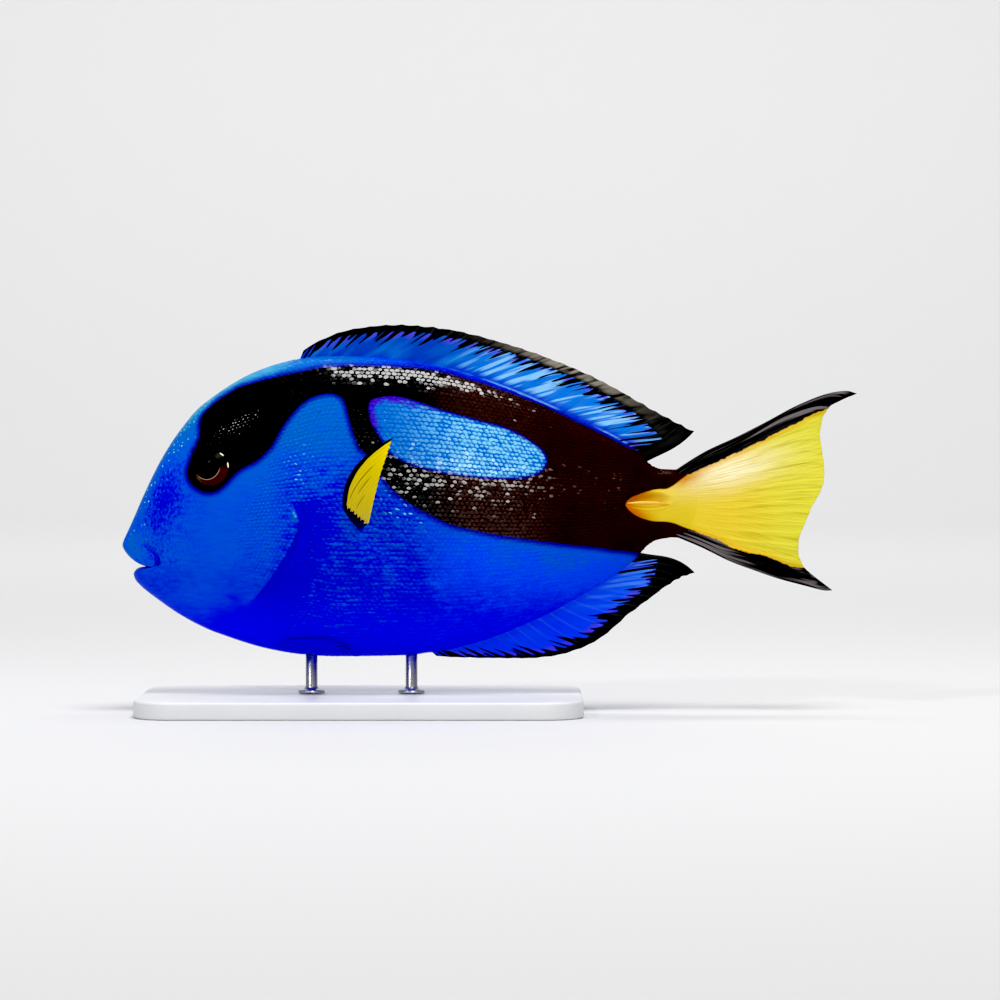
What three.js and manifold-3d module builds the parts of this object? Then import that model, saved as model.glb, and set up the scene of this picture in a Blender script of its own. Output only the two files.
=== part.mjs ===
// A regal blue tang (Paracanthurus hepatus), life size and still, held over a plain display stand.
//
// The fish is drawn in its own frame, in millimetres: x runs back from the tip of the snout, z runs
// up from the middle of the tail stalk, and y is 0 on the middle plane. The head points to -X, so
// the left flank faces -Y. At the end the whole group is moved so that the origin is the bottom
// centre of everything, on the floor under the stand.
//
// The body is a loft through named sections. It is parted by thin cuts into head, lower jaw, gill
// covers, trunk and tail stalk. Every fin is a sheet with its rays raised as ridges, and its root
// is cut to the skin that it grows from.
import * as THREE from "three";
import { mergeVertices } from "three/addons/utils/BufferGeometryUtils.js";
import Module from "manifold-3d";

const wasm = await Module();
wasm.setup();

// Driving sizes
const GAP = 0.3;
const BODY_WIDTH = 36;
const WIDEST_LEVEL = 0.05;
const BACK_KEEL = 1.15;
const BELLY_KEEL = 1.08;
const BODY_STATIONS = 46;
const BODY_SIDES = 32;
const CUT_REACH = 60;

// Body sections from the muzzle to the tail root. Each has the [x, z] of its back and its belly,
// and its width as a share of BODY_WIDTH.
const SECTIONS = [
  { name: "muzzle", back: [0.4, -13.6], belly: [4.7, -26.9], width: 0.19 },
  { name: "lips", back: [3.3, -5.4], belly: [7.8, -29.9], width: 0.28 },
  { name: "snout", back: [7.8, 4.8], belly: [12.5, -33.5], width: 0.41 },
  { name: "chin", back: [13.5, 16.0], belly: [18.6, -37.7], width: 0.55 },
  { name: "eye", back: [27.8, 34.2], belly: [32.9, -44.7], width: 0.77 },
  { name: "nape", back: [43.1, 43.9], belly: [48.2, -49.5], width: 0.9 },
  { name: "gills", back: [60.1, 49.1], belly: [64.2, -51.9], width: 0.98 },
  { name: "shoulder", back: [78.8, 49.8], belly: [82.2, -52.2], width: 1 },
  { name: "belly", back: [100.9, 47.8], belly: [102.6, -51.2], width: 0.94 },
  { name: "vent", back: [121.3, 42.3], belly: [121.3, -47.1], width: 0.82 },
  { name: "flank", back: [141.7, 34.3], belly: [140, -39.8], width: 0.66 },
  { name: "rear", back: [160.4, 25.7], belly: [157, -30.9], width: 0.48 },
  { name: "stalk_start", back: [173, 18.9], belly: [171.3, -21.7], width: 0.35 },
  { name: "stalk_neck", back: [180.2, 12.5], belly: [179.1, -13.8], width: 0.28 },
  { name: "stalk", back: [186.6, 11.5], belly: [185.9, -11.9], width: 0.225 },
  { name: "tail_root", back: [193.4, 12.1], belly: [193.4, -12.4], width: 0.12 },
];

// Where the body is parted, as lines in the side view
const NECK_CUT = [
  [59, 58], [57.5, 38], [56, 16], [57.8, 2], [60.4, -5], [60, -9.5], [55.4, -19], [48.2, -29], [39.7, -37],
  [31.5, -44.5], [28, -54],
];
const STALK_CUT = [[170.5, 40], [168.5, 10], [168.5, -12], [170, -40]];
const JAW_CUT = [[-6, -19.4], [5.1, -20.9], [11.8, -21.4], [14.6, -23.2], [17.4, -29], [19.5, -46]];
const LIP_NOTCH = [[-5, -13.5], [5.1, -20.9], [-5, -28]];

// Gill covers: the front and rear lines of the plate in the side view, from the top down, how deep it
// lies in the head, and how far its free rear rim is lifted. The rear line runs just past the neck
// cut, which trims it.
const GILL_COVER = {
  front: [[49.5, 5.6], [44.8, -1], [41.8, -9], [39.8, -18], [38.2, -27], [38.6, -34.5]],
  rear: [[59, 5.6], [61.5, -1], [62.8, -8], [58.6, -18], [51, -28.5], [44.4, -36]],
  depth: 2.6,
  lift: 0.85,
  sideMargin: 0.009,
  frontMargin: 0.025,
};

// Mouth: the lips are horseshoe tubes round the notch
const UPPER_LIP = {
  path: [[11.6, 6.3, -20.3], [6.4, 4.9, -18.1], [2.7, 2.6, -16], [1.9, 0, -15.3]],
  radii: [0.9, 1.6, 2.1, 2.2],
};
const LOWER_LIP = {
  path: [[11.9, 6.4, -22.3], [8.4, 4.9, -22.9], [6.2, 2.6, -23.6], [5.7, 0, -23.8]],
  radii: [0.8, 1.4, 1.9, 2],
};

const EYE = { x: 31, z: 11.9, radius: 6.1, ball: 6.6, bulge: 3.3, inset: 1.3, rim: 0.55 };
const NOSTRILS = [
  { x: 23.9, z: 17.6, radius: 0.95 },
  { x: 25.6, z: 20.4, radius: 0.75 },
];

// Folded tail blades, one in a groove on each side of the stalk, with the tip forward
const BLADE = {
  base: [185.4, -0.4],
  tip: [171.2, 0],
  radii: [1.1, 1.7, 1.5, 0.3],
  flatten: 0.5,
  proud: 0.25,
};
const BLADE_GROOVE = { x: 178.4, z: 0.9, length: 16, height: 5.6, depth: 0.9 };

// Fins: thickness of the skin between the rays at the root and at the edge
const MEMBRANE = 0.6;
const TIP_THICKNESS = 0.4;
const FIN_SWAY = 0.5;
const FIN_WAVES = 9;
const DORSAL = {
  rays: 28,
  base: [58.7, 176],
  lean: [2.6, 6.5, 9.5, 12, 14, 16.5, 18.2],
  bow: 1.4,
  curl: 2.2,
  edge: [
    [57, 48], [62.8, 52.9], [68, 55.8], [77, 59], [91, 60.7], [105, 60], [121.3, 56.8], [141.7, 50.5],
    [162.1, 42], [182.5, 30.5], [194.2, 24.5],
  ],
  rootRay: 1.9,
  tipRay: 0.5,
  spines: 9,
};
const ANAL = {
  rays: 21,
  base: [101.5, 173.5],
  lean: [5, 9, 13.5, 18, 21.5, 23.5, 20.9],
  bow: 2.2,
  curl: 0,
  edge: [
    [104, -51.7], [111, -52.5], [128.1, -52.9], [141.7, -52.7], [151.9, -50.9], [162.1, -46.3],
    [172.3, -37.8], [180.1, -31.9], [188, -26.4], [194.4, -23.8],
  ],
  rootRay: 1.9,
  tipRay: 0.5,
  spines: 3,
};
const FIN_ROOT_DEPTH = 3.5;
const FIN_ROWS = 3;
const SPINE_NOTCH = 0.06;
const RAY_NOTCH = 0.03;

// Tail fin: leading edges, trailing edge and the line where it leaves the stalk
const TAIL = {
  rays: 16,
  lobeRays: 3,
  lobeShare: 0.12,
  top: [
    [188, 12.1], [198, 17.6], [208.4, 22.4], [218.5, 27.5], [228.8, 33], [238.5, 36.9], [245.5, 38.1],
    [249.6, 37.2],
  ],
  bottom: [
    [188, -12.2], [197, -15.4], [206, -19.7], [214.5, -22.9], [223, -25.8], [232, -28.2], [238, -29.7],
    [241.3, -29.7],
  ],
  trailing: [
    [249.6, 37.2], [240, 32.2], [237.1, 24.5], [237.8, 17.5], [238.6, 10.8], [237.6, 4.9], [234.4, -0.8],
    [231.9, -6.6], [229.6, -13.2], [231.2, -21.2], [241.3, -29.7],
  ],
  rootThickness: 3.8,
  sway: 1.8,
};
const TAIL_ROWS = 6;

// Pectoral fins: [x, out, z] of root, bend and tip for the first, middle and last ray, where out is
// how far the point stands off the middle plane
const PECTORAL = {
  rays: 12,
  root: [[75.6, 15, -3.4], [77.9, 15, -6.8], [80.6, 15, -9]],
  bend: [[73.6, 33, 12.5], [80.6, 32.5, 1.2], [82.6, 26, -7.6]],
  tip: [[93.2, 44.6, 22.6], [88.6, 43.4, 9.6], [84.4, 33, -6]],
  rootRay: 1.8,
  tipRay: 0.5,
  pad: { at: [78, 16.6, -6], size: [3.3, 3.2, 5], tilt: -0.5 },
};
const PELVIC = {
  rays: 4,
  root: [[47.5, -48], [51, -46.2]],
  tip: [[80.5, -50.3], [70, -45.6]],
  sink: 1.2,
  stand: 1.4,
  spread: 1.2,
  rootRay: 1.6,
  tipRay: 0.5,
};

// Display stand
const STAND = { length: 150, depth: 84, thickness: 6, corner: 14, bevel: 1, centreX: 81 };
const ROD = { radius: 2, at: [64, 98], flange: 4.6, flangeHeight: 1.6, socket: 4, sink: 7, sides: 16 };
const CLEARANCE = 12;
const LOWEST_FIN = -52.9;
const STAND_TOP = LOWEST_FIN - CLEARANCE;

const COLOURS = {
  blue: { color: 0x1346d8, roughness: 0.4, metalness: 0 },
  black: { color: 0x0b0a0c, roughness: 0.35, metalness: 0 },
  yellow: { color: 0xf0cf18, roughness: 0.45, metalness: 0 },
  eye: { color: 0x2a140a, roughness: 0.1, metalness: 0 },
  stand: { color: 0xd9dadb, roughness: 0.45, metalness: 0 },
  steel: { color: 0xb4b6b8, roughness: 0.3, metalness: 1 },
};

// A smooth curve through a list of numbers or points, over 0 to 1
function through(values) {
  const list = values.map((value) => (Array.isArray(value) ? value : [value]));
  const last = list.length - 1;
  const at = (index, axis) => {
    if (index < 0) return 2 * list[0][axis] - list[1][axis];
    if (index > last) return 2 * list[last][axis] - list[last - 1][axis];
    return list[index][axis];
  };
  return (share) => {
    const place = Math.min(Math.max(share, 0), 1) * last;
    const index = Math.min(Math.floor(place), last - 1);
    const t = place - index;
    const point = list[0].map((_, axis) => {
      const [a, b, c, d] = [index - 1, index, index + 1, index + 2].map((i) => at(i, axis));
      return b + 0.5 * t * (c - a + t * (2 * a - 5 * b + 4 * c - d + t * (3 * (b - c) + d - a)));
    });
    return Array.isArray(values[0]) ? point : point[0];
  };
}

const mix = (a, b, t) => a + (b - a) * t;
const smooth = (low, high, value) => THREE.MathUtils.smoothstep(value, low, high);

// The share at which a rising function reaches a target
function solve(rising, target) {
  let [low, high] = [0, 1];
  for (let step = 0; step < 40; step += 1) {
    const middle = (low + high) / 2;
    if (rising(middle) < target) low = middle;
    else high = middle;
  }
  return (low + high) / 2;
}

// Body surface
const backLine = through(SECTIONS.map((section) => section.back));
const bellyLine = through(SECTIONS.map((section) => section.belly));
const widthLine = through(SECTIONS.map((section) => section.width));
const backAt = (x) => backLine(solve((s) => backLine(s)[0], x))[1];
const bellyAt = (x) => bellyLine(solve((s) => bellyLine(s)[0], x))[1];

// A point of the skin: s runs from muzzle to tail root, and the angle from the right flank up to
// the back and on to the left flank and the belly
function skinPoint(s, angle) {
  const [back, belly] = [backLine(s), bellyLine(s)];
  const rise = Math.sin(angle);
  const level = rise > 0 ? mix(WIDEST_LEVEL, 1, rise) : mix(WIDEST_LEVEL, -1, -rise);
  const keel = rise > 0 ? BACK_KEEL : BELLY_KEEL;
  const across = Math.abs(Math.cos(angle)) ** keel * Math.sign(Math.cos(angle));
  return new THREE.Vector3(
    mix(belly[0], back[0], (level + 1) / 2),
    (widthLine(s) * BODY_WIDTH * across) / 2,
    mix(belly[1], back[1], (level + 1) / 2),
  );
}

function skinNormal(s, angle) {
  const [ds, da] = [1e-3, 1e-2];
  const along = skinPoint(Math.min(s + ds, 1), angle).sub(skinPoint(Math.max(s - ds, 0), angle));
  const round = skinPoint(s, angle + da).sub(skinPoint(s, angle - da));
  return round.cross(along).normalize();
}

// How far the skin stands off the middle plane at a place in the side view
function flankAt(x, z) {
  const past = (s) => {
    const [back, belly] = [backLine(s), bellyLine(s)];
    return (x - belly[0]) * (belly[1] - back[1]) - (z - belly[1]) * (belly[0] - back[0]);
  };
  const s = solve(past, 0);
  const [back, belly] = [backLine(s), bellyLine(s)];
  const level = (2 * (z - belly[1])) / (back[1] - belly[1]) - 1;
  const above = level > WIDEST_LEVEL;
  const rise = Math.abs(level - WIDEST_LEVEL) / (above ? 1 - WIDEST_LEVEL : 1 + WIDEST_LEVEL);
  const keel = above ? BACK_KEEL : BELLY_KEEL;
  return (widthLine(s) * BODY_WIDTH * (1 - Math.min(rise, 1) ** 2) ** (keel / 2)) / 2;
}

// The way out of the flank at a place in the side view, for side 1 (right) or -1 (left)
function flankNormal(x, z, side) {
  const step = 0.5;
  const dx = (flankAt(x + step, z) - flankAt(x - step, z)) / (2 * step);
  const dz = (flankAt(x, z + step) - flankAt(x, z - step)) / (2 * step);
  return new THREE.Vector3(-dx, side, -dz).normalize();
}

// Solids and meshes
function solidOf(geometry) {
  const plain = new THREE.BufferGeometry();
  plain.setAttribute("position", geometry.getAttribute("position").clone());
  if (geometry.index) plain.setIndex(geometry.index.clone());
  const merged = mergeVertices(plain, 1e-4);
  const triVerts = new Uint32Array(merged.index.array);
  const vertProperties = merged.attributes.position.array;
  const build = () => new wasm.Manifold(new wasm.Mesh({ numProp: 3, vertProperties, triVerts }));
  const solid = build();
  if (solid.volume() > 0) return solid;
  for (let i = 0; i < triVerts.length; i += 3) {
    [triVerts[i + 1], triVerts[i + 2]] = [triVerts[i + 2], triVerts[i + 1]];
  }
  return build();
}

function geometryOf(solid) {
  const mesh = solid.getMesh();
  const positions = new Float32Array(mesh.numVert * 3);
  for (let i = 0; i < mesh.numVert; i += 1) {
    positions.set(mesh.vertProperties.subarray(i * mesh.numProp, i * mesh.numProp + 3), i * 3);
  }
  const geometry = new THREE.BufferGeometry();
  geometry.setAttribute("position", new THREE.BufferAttribute(positions, 3));
  geometry.setIndex(new THREE.BufferAttribute(mesh.triVerts, 1));
  geometry.computeVertexNormals();
  return geometry;
}

const pieces = (solid) => solid.decompose().sort((a, b) => b.volume() - a.volume());
const largest = (solid) => pieces(solid)[0];
const middleX = (solid) => {
  const box = solid.boundingBox();
  return (box.min[0] + box.max[0]) / 2;
};

// A closed surface from rings of points, each ring given in the same turning direction
function skinOver(rings, start, end) {
  const sides = rings[0].length;
  const points = [...rings.flat(), start, end];
  const index = [];
  rings.slice(1).forEach((_, ring) => {
    for (let side = 0; side < sides; side += 1) {
      const a = ring * sides + side;
      const b = ring * sides + ((side + 1) % sides);
      index.push(a, a + sides, b, b, a + sides, b + sides);
    }
  });
  const tail = (rings.length - 1) * sides;
  for (let side = 0; side < sides; side += 1) {
    const next = (side + 1) % sides;
    index.push(side, next, points.length - 2);
    index.push(tail + side, points.length - 1, tail + next);
  }
  const geometry = new THREE.BufferGeometry().setFromPoints(points);
  geometry.setIndex(index);
  return geometry;
}

// The whole body, grown outwards by a distance
function bodySolid(grow = 0) {
  const rings = [];
  for (let station = 0; station <= BODY_STATIONS; station += 1) {
    const s = station / BODY_STATIONS;
    const ring = [];
    for (let side = 0; side < BODY_SIDES; side += 1) {
      const angle = (2 * Math.PI * side) / BODY_SIDES;
      const point = skinPoint(s, angle);
      point.addScaledVector(skinNormal(s, angle), grow);
      if (station === 0) point.x -= grow;
      if (station === BODY_STATIONS) point.x += grow;
      ring.push(point);
    }
    rings.push(ring);
  }
  const centre = (ring) => {
    const sum = ring.reduce((total, point) => total.add(point), new THREE.Vector3());
    return sum.divideScalar(ring.length);
  };
  return solidOf(skinOver(rings, centre(rings[0]), centre(rings[BODY_STATIONS])));
}

// A side-view outline run straight across the fish, between two y values
function prism(outline, low = -CUT_REACH, high = CUT_REACH) {
  const shape = new THREE.Shape(outline.map(([x, z]) => new THREE.Vector2(x, z)));
  const geometry = new THREE.ExtrudeGeometry(shape, { depth: high - low, bevelEnabled: false });
  geometry.applyMatrix4(new THREE.Matrix4().makeRotationX(Math.PI / 2)).translate(0, high, 0);
  return solidOf(geometry);
}

// A thin curved wall along a side-view line, for a parting cut
function ribbon(line, steps = 28) {
  const curve = through(line);
  const [left, right] = [[], []];
  for (let step = 0; step <= steps; step += 1) {
    const t = step / steps;
    const [here, ahead, behind] = [curve(t), curve(t + 1e-3), curve(t - 1e-3)];
    const length = Math.hypot(ahead[0] - behind[0], ahead[1] - behind[1]);
    const across = [(behind[1] - ahead[1]) / length, (ahead[0] - behind[0]) / length];
    left.push([here[0] + (across[0] * GAP) / 2, here[1] + (across[1] * GAP) / 2]);
    right.unshift([here[0] - (across[0] * GAP) / 2, here[1] - (across[1] * GAP) / 2]);
  }
  return prism([...left, ...right]);
}

// A round bar along a smooth path, with a radius for each path point
function taperedBar(path, radii, { steps = 20, sides = 10, squash = new THREE.Vector3(1, 1, 1) } = {}) {
  const curve = through(path);
  const radiusAt = through(radii);
  const rings = [];
  for (let step = 0; step <= steps; step += 1) {
    const t = step / steps;
    const centre = new THREE.Vector3(...curve(t));
    const [ahead, behind] = [curve(Math.min(t + 1e-3, 1)), curve(Math.max(t - 1e-3, 0))];
    const way = new THREE.Vector3(...ahead).sub(new THREE.Vector3(...behind)).normalize();
    const up = new THREE.Vector3(0, 0, 1).addScaledVector(way, -way.z).normalize();
    const out = new THREE.Vector3().crossVectors(way, up);
    const ring = [];
    for (let side = 0; side < sides; side += 1) {
      const angle = (2 * Math.PI * side) / sides;
      const offset = up.clone().multiplyScalar(Math.sin(angle)).addScaledVector(out, Math.cos(angle));
      ring.push(centre.clone().add(offset.multiplyScalar(radiusAt(t)).multiply(squash)));
    }
    rings.push(ring);
  }
  return solidOf(skinOver(rings, new THREE.Vector3(...curve(0)), new THREE.Vector3(...curve(1))));
}

function ellipsoid(centre, size, turn = new THREE.Quaternion(), [across, down] = [14, 8]) {
  const matrix = new THREE.Matrix4().compose(centre, turn, new THREE.Vector3(...size));
  return solidOf(new THREE.SphereGeometry(1, across, down).applyMatrix4(matrix));
}

// Turns +Z to a direction
const facing = (way) => new THREE.Quaternion().setFromUnitVectors(new THREE.Vector3(0, 0, 1), way);

// Fin sheets
function rayColumns(rays, first = 0, last = 1, softFrom = 0) {
  const columns = [];
  const step = (last - first) / (rays - 1);
  for (let ray = 0; ray < rays; ray += 1) {
    const notch = ray < softFrom ? SPINE_NOTCH : RAY_NOTCH;
    const u = first + ray * step;
    columns.push({ u, ridge: 1, reach: 1 });
    if (ray < rays - 1) {
      columns.push({ u: u + 0.3 * step, ridge: 0, reach: 1 - notch });
      columns.push({ u: u + 0.7 * step, ridge: 0, reach: 1 - notch * 0.8 });
    }
  }
  return columns;
}

// A closed sheet round a middle surface, with the same triangles on both faces
function finSolid({ columns, rows, surface, thickness }) {
  const points = [];
  const put = (face) => columns.forEach((column) => {
    for (let row = 0; row <= rows; row += 1) {
      const v = (column.reach * row) / rows;
      const step = 1e-3;
      const across = surface(Math.min(column.u + step, 1), v).sub(surface(Math.max(column.u - step, 0), v));
      const along = surface(column.u, v + step).sub(surface(column.u, Math.max(v - step, 0)));
      const normal = along.cross(across).normalize();
      points.push(surface(column.u, v).addScaledVector(normal, (face * thickness(column, row / rows)) / 2));
    }
  });
  put(1);
  put(-1);
  const index = [];
  const stride = rows + 1;
  const layer = columns.length * stride;
  const at = (column, row, face) => column * stride + row + (face < 0 ? layer : 0);
  const quad = (a, b, c, d) => index.push(a, b, c, a, c, d);
  for (let column = 0; column < columns.length - 1; column += 1) {
    for (let row = 0; row < rows; row += 1) {
      const corners = (face) => {
        const [near, far] = [at(column, row, face), at(column + 1, row, face)];
        return [near, near + 1, far + 1, far];
      };
      const [a, b, c, d] = corners(1);
      const [e, f, g, h] = corners(-1);
      index.push(a, b, c, a, c, d, e, g, f, e, h, g);
    }
    quad(at(column, 0, 1), at(column + 1, 0, 1), at(column + 1, 0, -1), at(column, 0, -1));
    quad(at(column, rows, 1), at(column, rows, -1), at(column + 1, rows, -1), at(column + 1, rows, 1));
  }
  const end = columns.length - 1;
  for (let row = 0; row < rows; row += 1) {
    quad(at(0, row, 1), at(0, row, -1), at(0, row + 1, -1), at(0, row + 1, 1));
    quad(at(end, row, 1), at(end, row + 1, 1), at(end, row + 1, -1), at(end, row, -1));
  }
  const geometry = new THREE.BufferGeometry().setFromPoints(points);
  geometry.setIndex(index);
  return solidOf(geometry);
}

// Thickness of a ray sheet: the rays taper from root to tip over the skin between them
const rayThickness = ({ rootRay, tipRay }) => (column, v) => {
  const membrane = mix(MEMBRANE, TIP_THICKNESS, v ** 3);
  return membrane + column.ridge * mix(rootRay - MEMBRANE, tipRay - TIP_THICKNESS, v ** 0.8);
};

// Dorsal or anal fin: a sheet on the middle plane, from inside the body out to its edge
function medianFin(fin, bodyEdge, up) {
  const edge = through(fin.edge);
  const lean = through(fin.lean);
  const surface = (u, v) => {
    const rootX = mix(fin.base[0], fin.base[1], u);
    const rootZ = bodyEdge(rootX) - up * FIN_ROOT_DEPTH;
    const tip = edge(solve((share) => edge(share)[0], rootX + lean(u)));
    const bow = 6.75 * fin.bow * u ** 6 * v * v * (1 - v);
    const curl = fin.curl * v * v * smooth(0.15, 0.6, u) * (1 - smooth(0.75, 1, u));
    const sway = FIN_SWAY * v * Math.sin(FIN_WAVES * u) + curl;
    return new THREE.Vector3(mix(rootX, tip[0], v), sway, mix(rootZ, tip[1], v) - up * bow);
  };
  const columns = rayColumns(fin.rays, 0, 1, fin.spines);
  return finSolid({ columns, rows: FIN_ROWS, surface, thickness: rayThickness(fin) });
}

// Tail fin: a patch between its four edges, bowed a little to each side
function tailSurface() {
  const [top, bottom, trailing] = [TAIL.top, TAIL.bottom, TAIL.trailing].map(through);
  const [rootTop, rootBottom] = [top(0), bottom(0)];
  const [tipTop, tipBottom] = [top(1), bottom(1)];
  return (u, v) => {
    const edge = trailing(u);
    const place = [0, 1].map((axis) => {
      const rails = mix(top(v)[axis], bottom(v)[axis], u);
      const ends = mix(mix(rootTop[axis], rootBottom[axis], u), edge[axis], v);
      const corners = mix(mix(rootTop[axis], rootBottom[axis], u), mix(tipTop[axis], tipBottom[axis], u), v);
      return rails + ends - corners;
    });
    const sway = TAIL.sway * v ** 1.5 * Math.sin(2 * Math.PI * (0.7 * u + 0.25));
    return new THREE.Vector3(place[0], sway, place[1]);
  };
}

function tailSheet(rays, first, last) {
  const columns = rayColumns(rays, first, last);
  const thickness = (column, v) =>
    mix(TAIL.rootThickness - 1, MEMBRANE, v ** 0.6) + column.ridge * mix(1, 0.35, v);
  return finSolid({ columns, rows: TAIL_ROWS, surface: tailSurface(), thickness });
}

// Pectoral fin: a fan whose rays bend outwards and up from a fleshy pad
function pectoralFin(side) {
  const [root, bend, tip] = [PECTORAL.root, PECTORAL.bend, PECTORAL.tip].map(through);
  const surface = (u, v) => {
    const place = [0, 1, 2].map((axis) => {
      const [a, b, c] = [root(u)[axis], bend(u)[axis], tip(u)[axis]];
      return (1 - v) ** 2 * a + 2 * v * (1 - v) * b + v * v * c;
    });
    return new THREE.Vector3(place[0], side * place[1], place[2]);
  };
  const columns = rayColumns(PECTORAL.rays);
  const fan = finSolid({ columns, rows: 4, surface, thickness: rayThickness(PECTORAL) });
  const { at, size, tilt } = PECTORAL.pad;
  const turn = new THREE.Quaternion().setFromAxisAngle(new THREE.Vector3(0, 1, 0), tilt);
  return fan.add(ellipsoid(new THREE.Vector3(at[0], side * at[1], at[2]), size, turn, [12, 6]));
}

// Pelvic fin: a small fan folded back along the belly
function pelvicFin(side) {
  const along = (ray, axis, v) => mix(PELVIC.root[ray][axis], PELVIC.tip[ray][axis], v);
  const surface = (u, v) => {
    const [x, z] = [0, 1].map((axis) => mix(along(0, axis, v), along(1, axis, v), u));
    const stand = PELVIC.stand + PELVIC.spread * (1 - u);
    const out = flankAt(x, z) + mix(-PELVIC.sink, stand, smooth(0, 0.45, v));
    return new THREE.Vector3(x, side * out, z);
  };
  const columns = rayColumns(PELVIC.rays);
  return finSolid({ columns, rows: 4, surface, thickness: rayThickness(PELVIC) });
}

// Gill cover: a plate that follows the cheek and lifts towards its free rim. The pocket that it lies
// in is the same plate with no margins and a gap all round.
function gillPlate(side, asPocket) {
  const { depth, lift, sideMargin, frontMargin } = GILL_COVER;
  const [front, rear] = [through(GILL_COVER.front), through(GILL_COVER.rear)];
  const liftAt = (u, v) => lift * smooth(0.25, 1, v) * smooth(0, 0.25, u) * (1 - smooth(0.75, 1, u));
  const surface = (across, along) => {
    const u = asPocket ? across : mix(sideMargin, 1 - sideMargin, across);
    const v = asPocket ? along : mix(frontMargin, 1, along);
    const [x, z] = [0, 1].map((axis) => mix(front(u)[axis], rear(u)[axis], v));
    return new THREE.Vector3(x, side * (flankAt(x, z) + (liftAt(u, v) - depth) / 2), z);
  };
  const columns = Array.from({ length: 13 }, (_, index) => ({ u: index / 12, ridge: 0, reach: 1 }));
  const thickness = (column, v) => depth + liftAt(column.u, v) + (asPocket ? 2 * GAP : 0);
  return finSolid({ columns, rows: 5, surface, thickness });
}

// Head details
function lip({ path, radii }) {
  const mirrored = path.slice(0, -1).map(([x, y, z]) => [x, -y, z]).reverse();
  const whole = [...radii, ...radii.slice(0, -1).reverse()];
  return taperedBar([...path, ...mirrored], whole, { steps: 14, sides: 6 });
}

function onFlank({ x, z }, side, out = 0) {
  const normal = flankNormal(x, z, side);
  return { normal, point: new THREE.Vector3(x, side * flankAt(x, z), z).addScaledVector(normal, out) };
}

function eyeball(side, grow = 0) {
  const { normal, point } = onFlank(EYE, side, -EYE.inset);
  return ellipsoid(point, [EYE.ball + grow, EYE.ball + grow, EYE.bulge + grow], facing(normal), [18, 8]);
}

function ring(place, side, radius, thickness, [across, round]) {
  const { normal, point } = onFlank(place, side);
  const torus = new THREE.TorusGeometry(radius, thickness, across, round);
  return solidOf(torus.applyQuaternion(facing(normal)).translate(point.x, point.y, point.z));
}

function nostrilPit(nostril, side) {
  const { normal, point } = onFlank(nostril, side, 0.2);
  return ellipsoid(point, [nostril.radius, nostril.radius, 1.4], facing(normal), [8, 4]);
}

// Tail blade and the groove that it folds into
function bladeBar(side, grow = 0) {
  const path = [0, 1, 2, 3].map((step) => {
    const [x, z] = [0, 1].map((axis) => mix(BLADE.base[axis], BLADE.tip[axis], step / 3));
    return [x, side * (flankAt(x, z) + BLADE.proud), z];
  });
  const squash = new THREE.Vector3(1, BLADE.flatten, 1);
  const grown = BLADE.radii.map((radius) => radius + grow / BLADE.flatten);
  if (grow) {
    path[0][0] += grow;
    path[3][0] -= grow;
  }
  return taperedBar(path, grown, { steps: 7, sides: 8, squash });
}

function bladeGroove(side) {
  const { normal, point } = onFlank(BLADE_GROOVE, side);
  const size = [BLADE_GROOVE.length / 2, BLADE_GROOVE.height / 2, BLADE_GROOVE.depth];
  return ellipsoid(point, size, facing(normal), [14, 6]);
}

// Display stand: a flat plate, and rods with a flange that stand in it and reach into the belly
function standPlate() {
  const { length, depth, thickness, corner, bevel } = STAND;
  const [halfX, halfY] = [length / 2 - bevel, depth / 2 - bevel];
  const shape = new THREE.Shape();
  shape.moveTo(-halfX + corner, -halfY);
  shape.lineTo(halfX - corner, -halfY);
  shape.absarc(halfX - corner, -halfY + corner, corner, -Math.PI / 2, 0);
  shape.absarc(halfX - corner, halfY - corner, corner, 0, Math.PI / 2);
  shape.absarc(-halfX + corner, halfY - corner, corner, Math.PI / 2, Math.PI);
  shape.absarc(-halfX + corner, -halfY + corner, corner, Math.PI, 1.5 * Math.PI);
  const geometry = new THREE.ExtrudeGeometry(shape, {
    depth: thickness - 2 * bevel, bevelThickness: bevel, bevelSize: bevel, bevelSegments: 1, curveSegments: 5,
  });
  return solidOf(geometry.translate(STAND.centreX, 0, STAND_TOP - thickness + bevel));
}

function rodBar(x, grow = 0) {
  const low = STAND_TOP - ROD.socket - grow;
  const high = bellyAt(x) + ROD.sink + grow;
  const radius = ROD.radius + grow;
  const profile = [[0, low], [radius, low]];
  if (!grow) {
    const foot = STAND_TOP + GAP;
    profile.push([radius, foot], [ROD.flange, foot], [ROD.flange, foot + ROD.flangeHeight / 2]);
    profile.push([radius + 0.8, foot + ROD.flangeHeight], [radius, foot + ROD.flangeHeight * 1.5]);
  }
  profile.push([radius, high], [0, high]);
  const geometry = new THREE.LatheGeometry(profile.map(([r, z]) => new THREE.Vector2(r, z)), ROD.sides);
  return solidOf(geometry.rotateX(Math.PI / 2).translate(x, 0, 0));
}

// Assembly
const SIDES = { left: -1, right: 1 };
const nodes = new Map();
const skin = bodySolid();
const skinClear = bodySolid(GAP);

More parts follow.
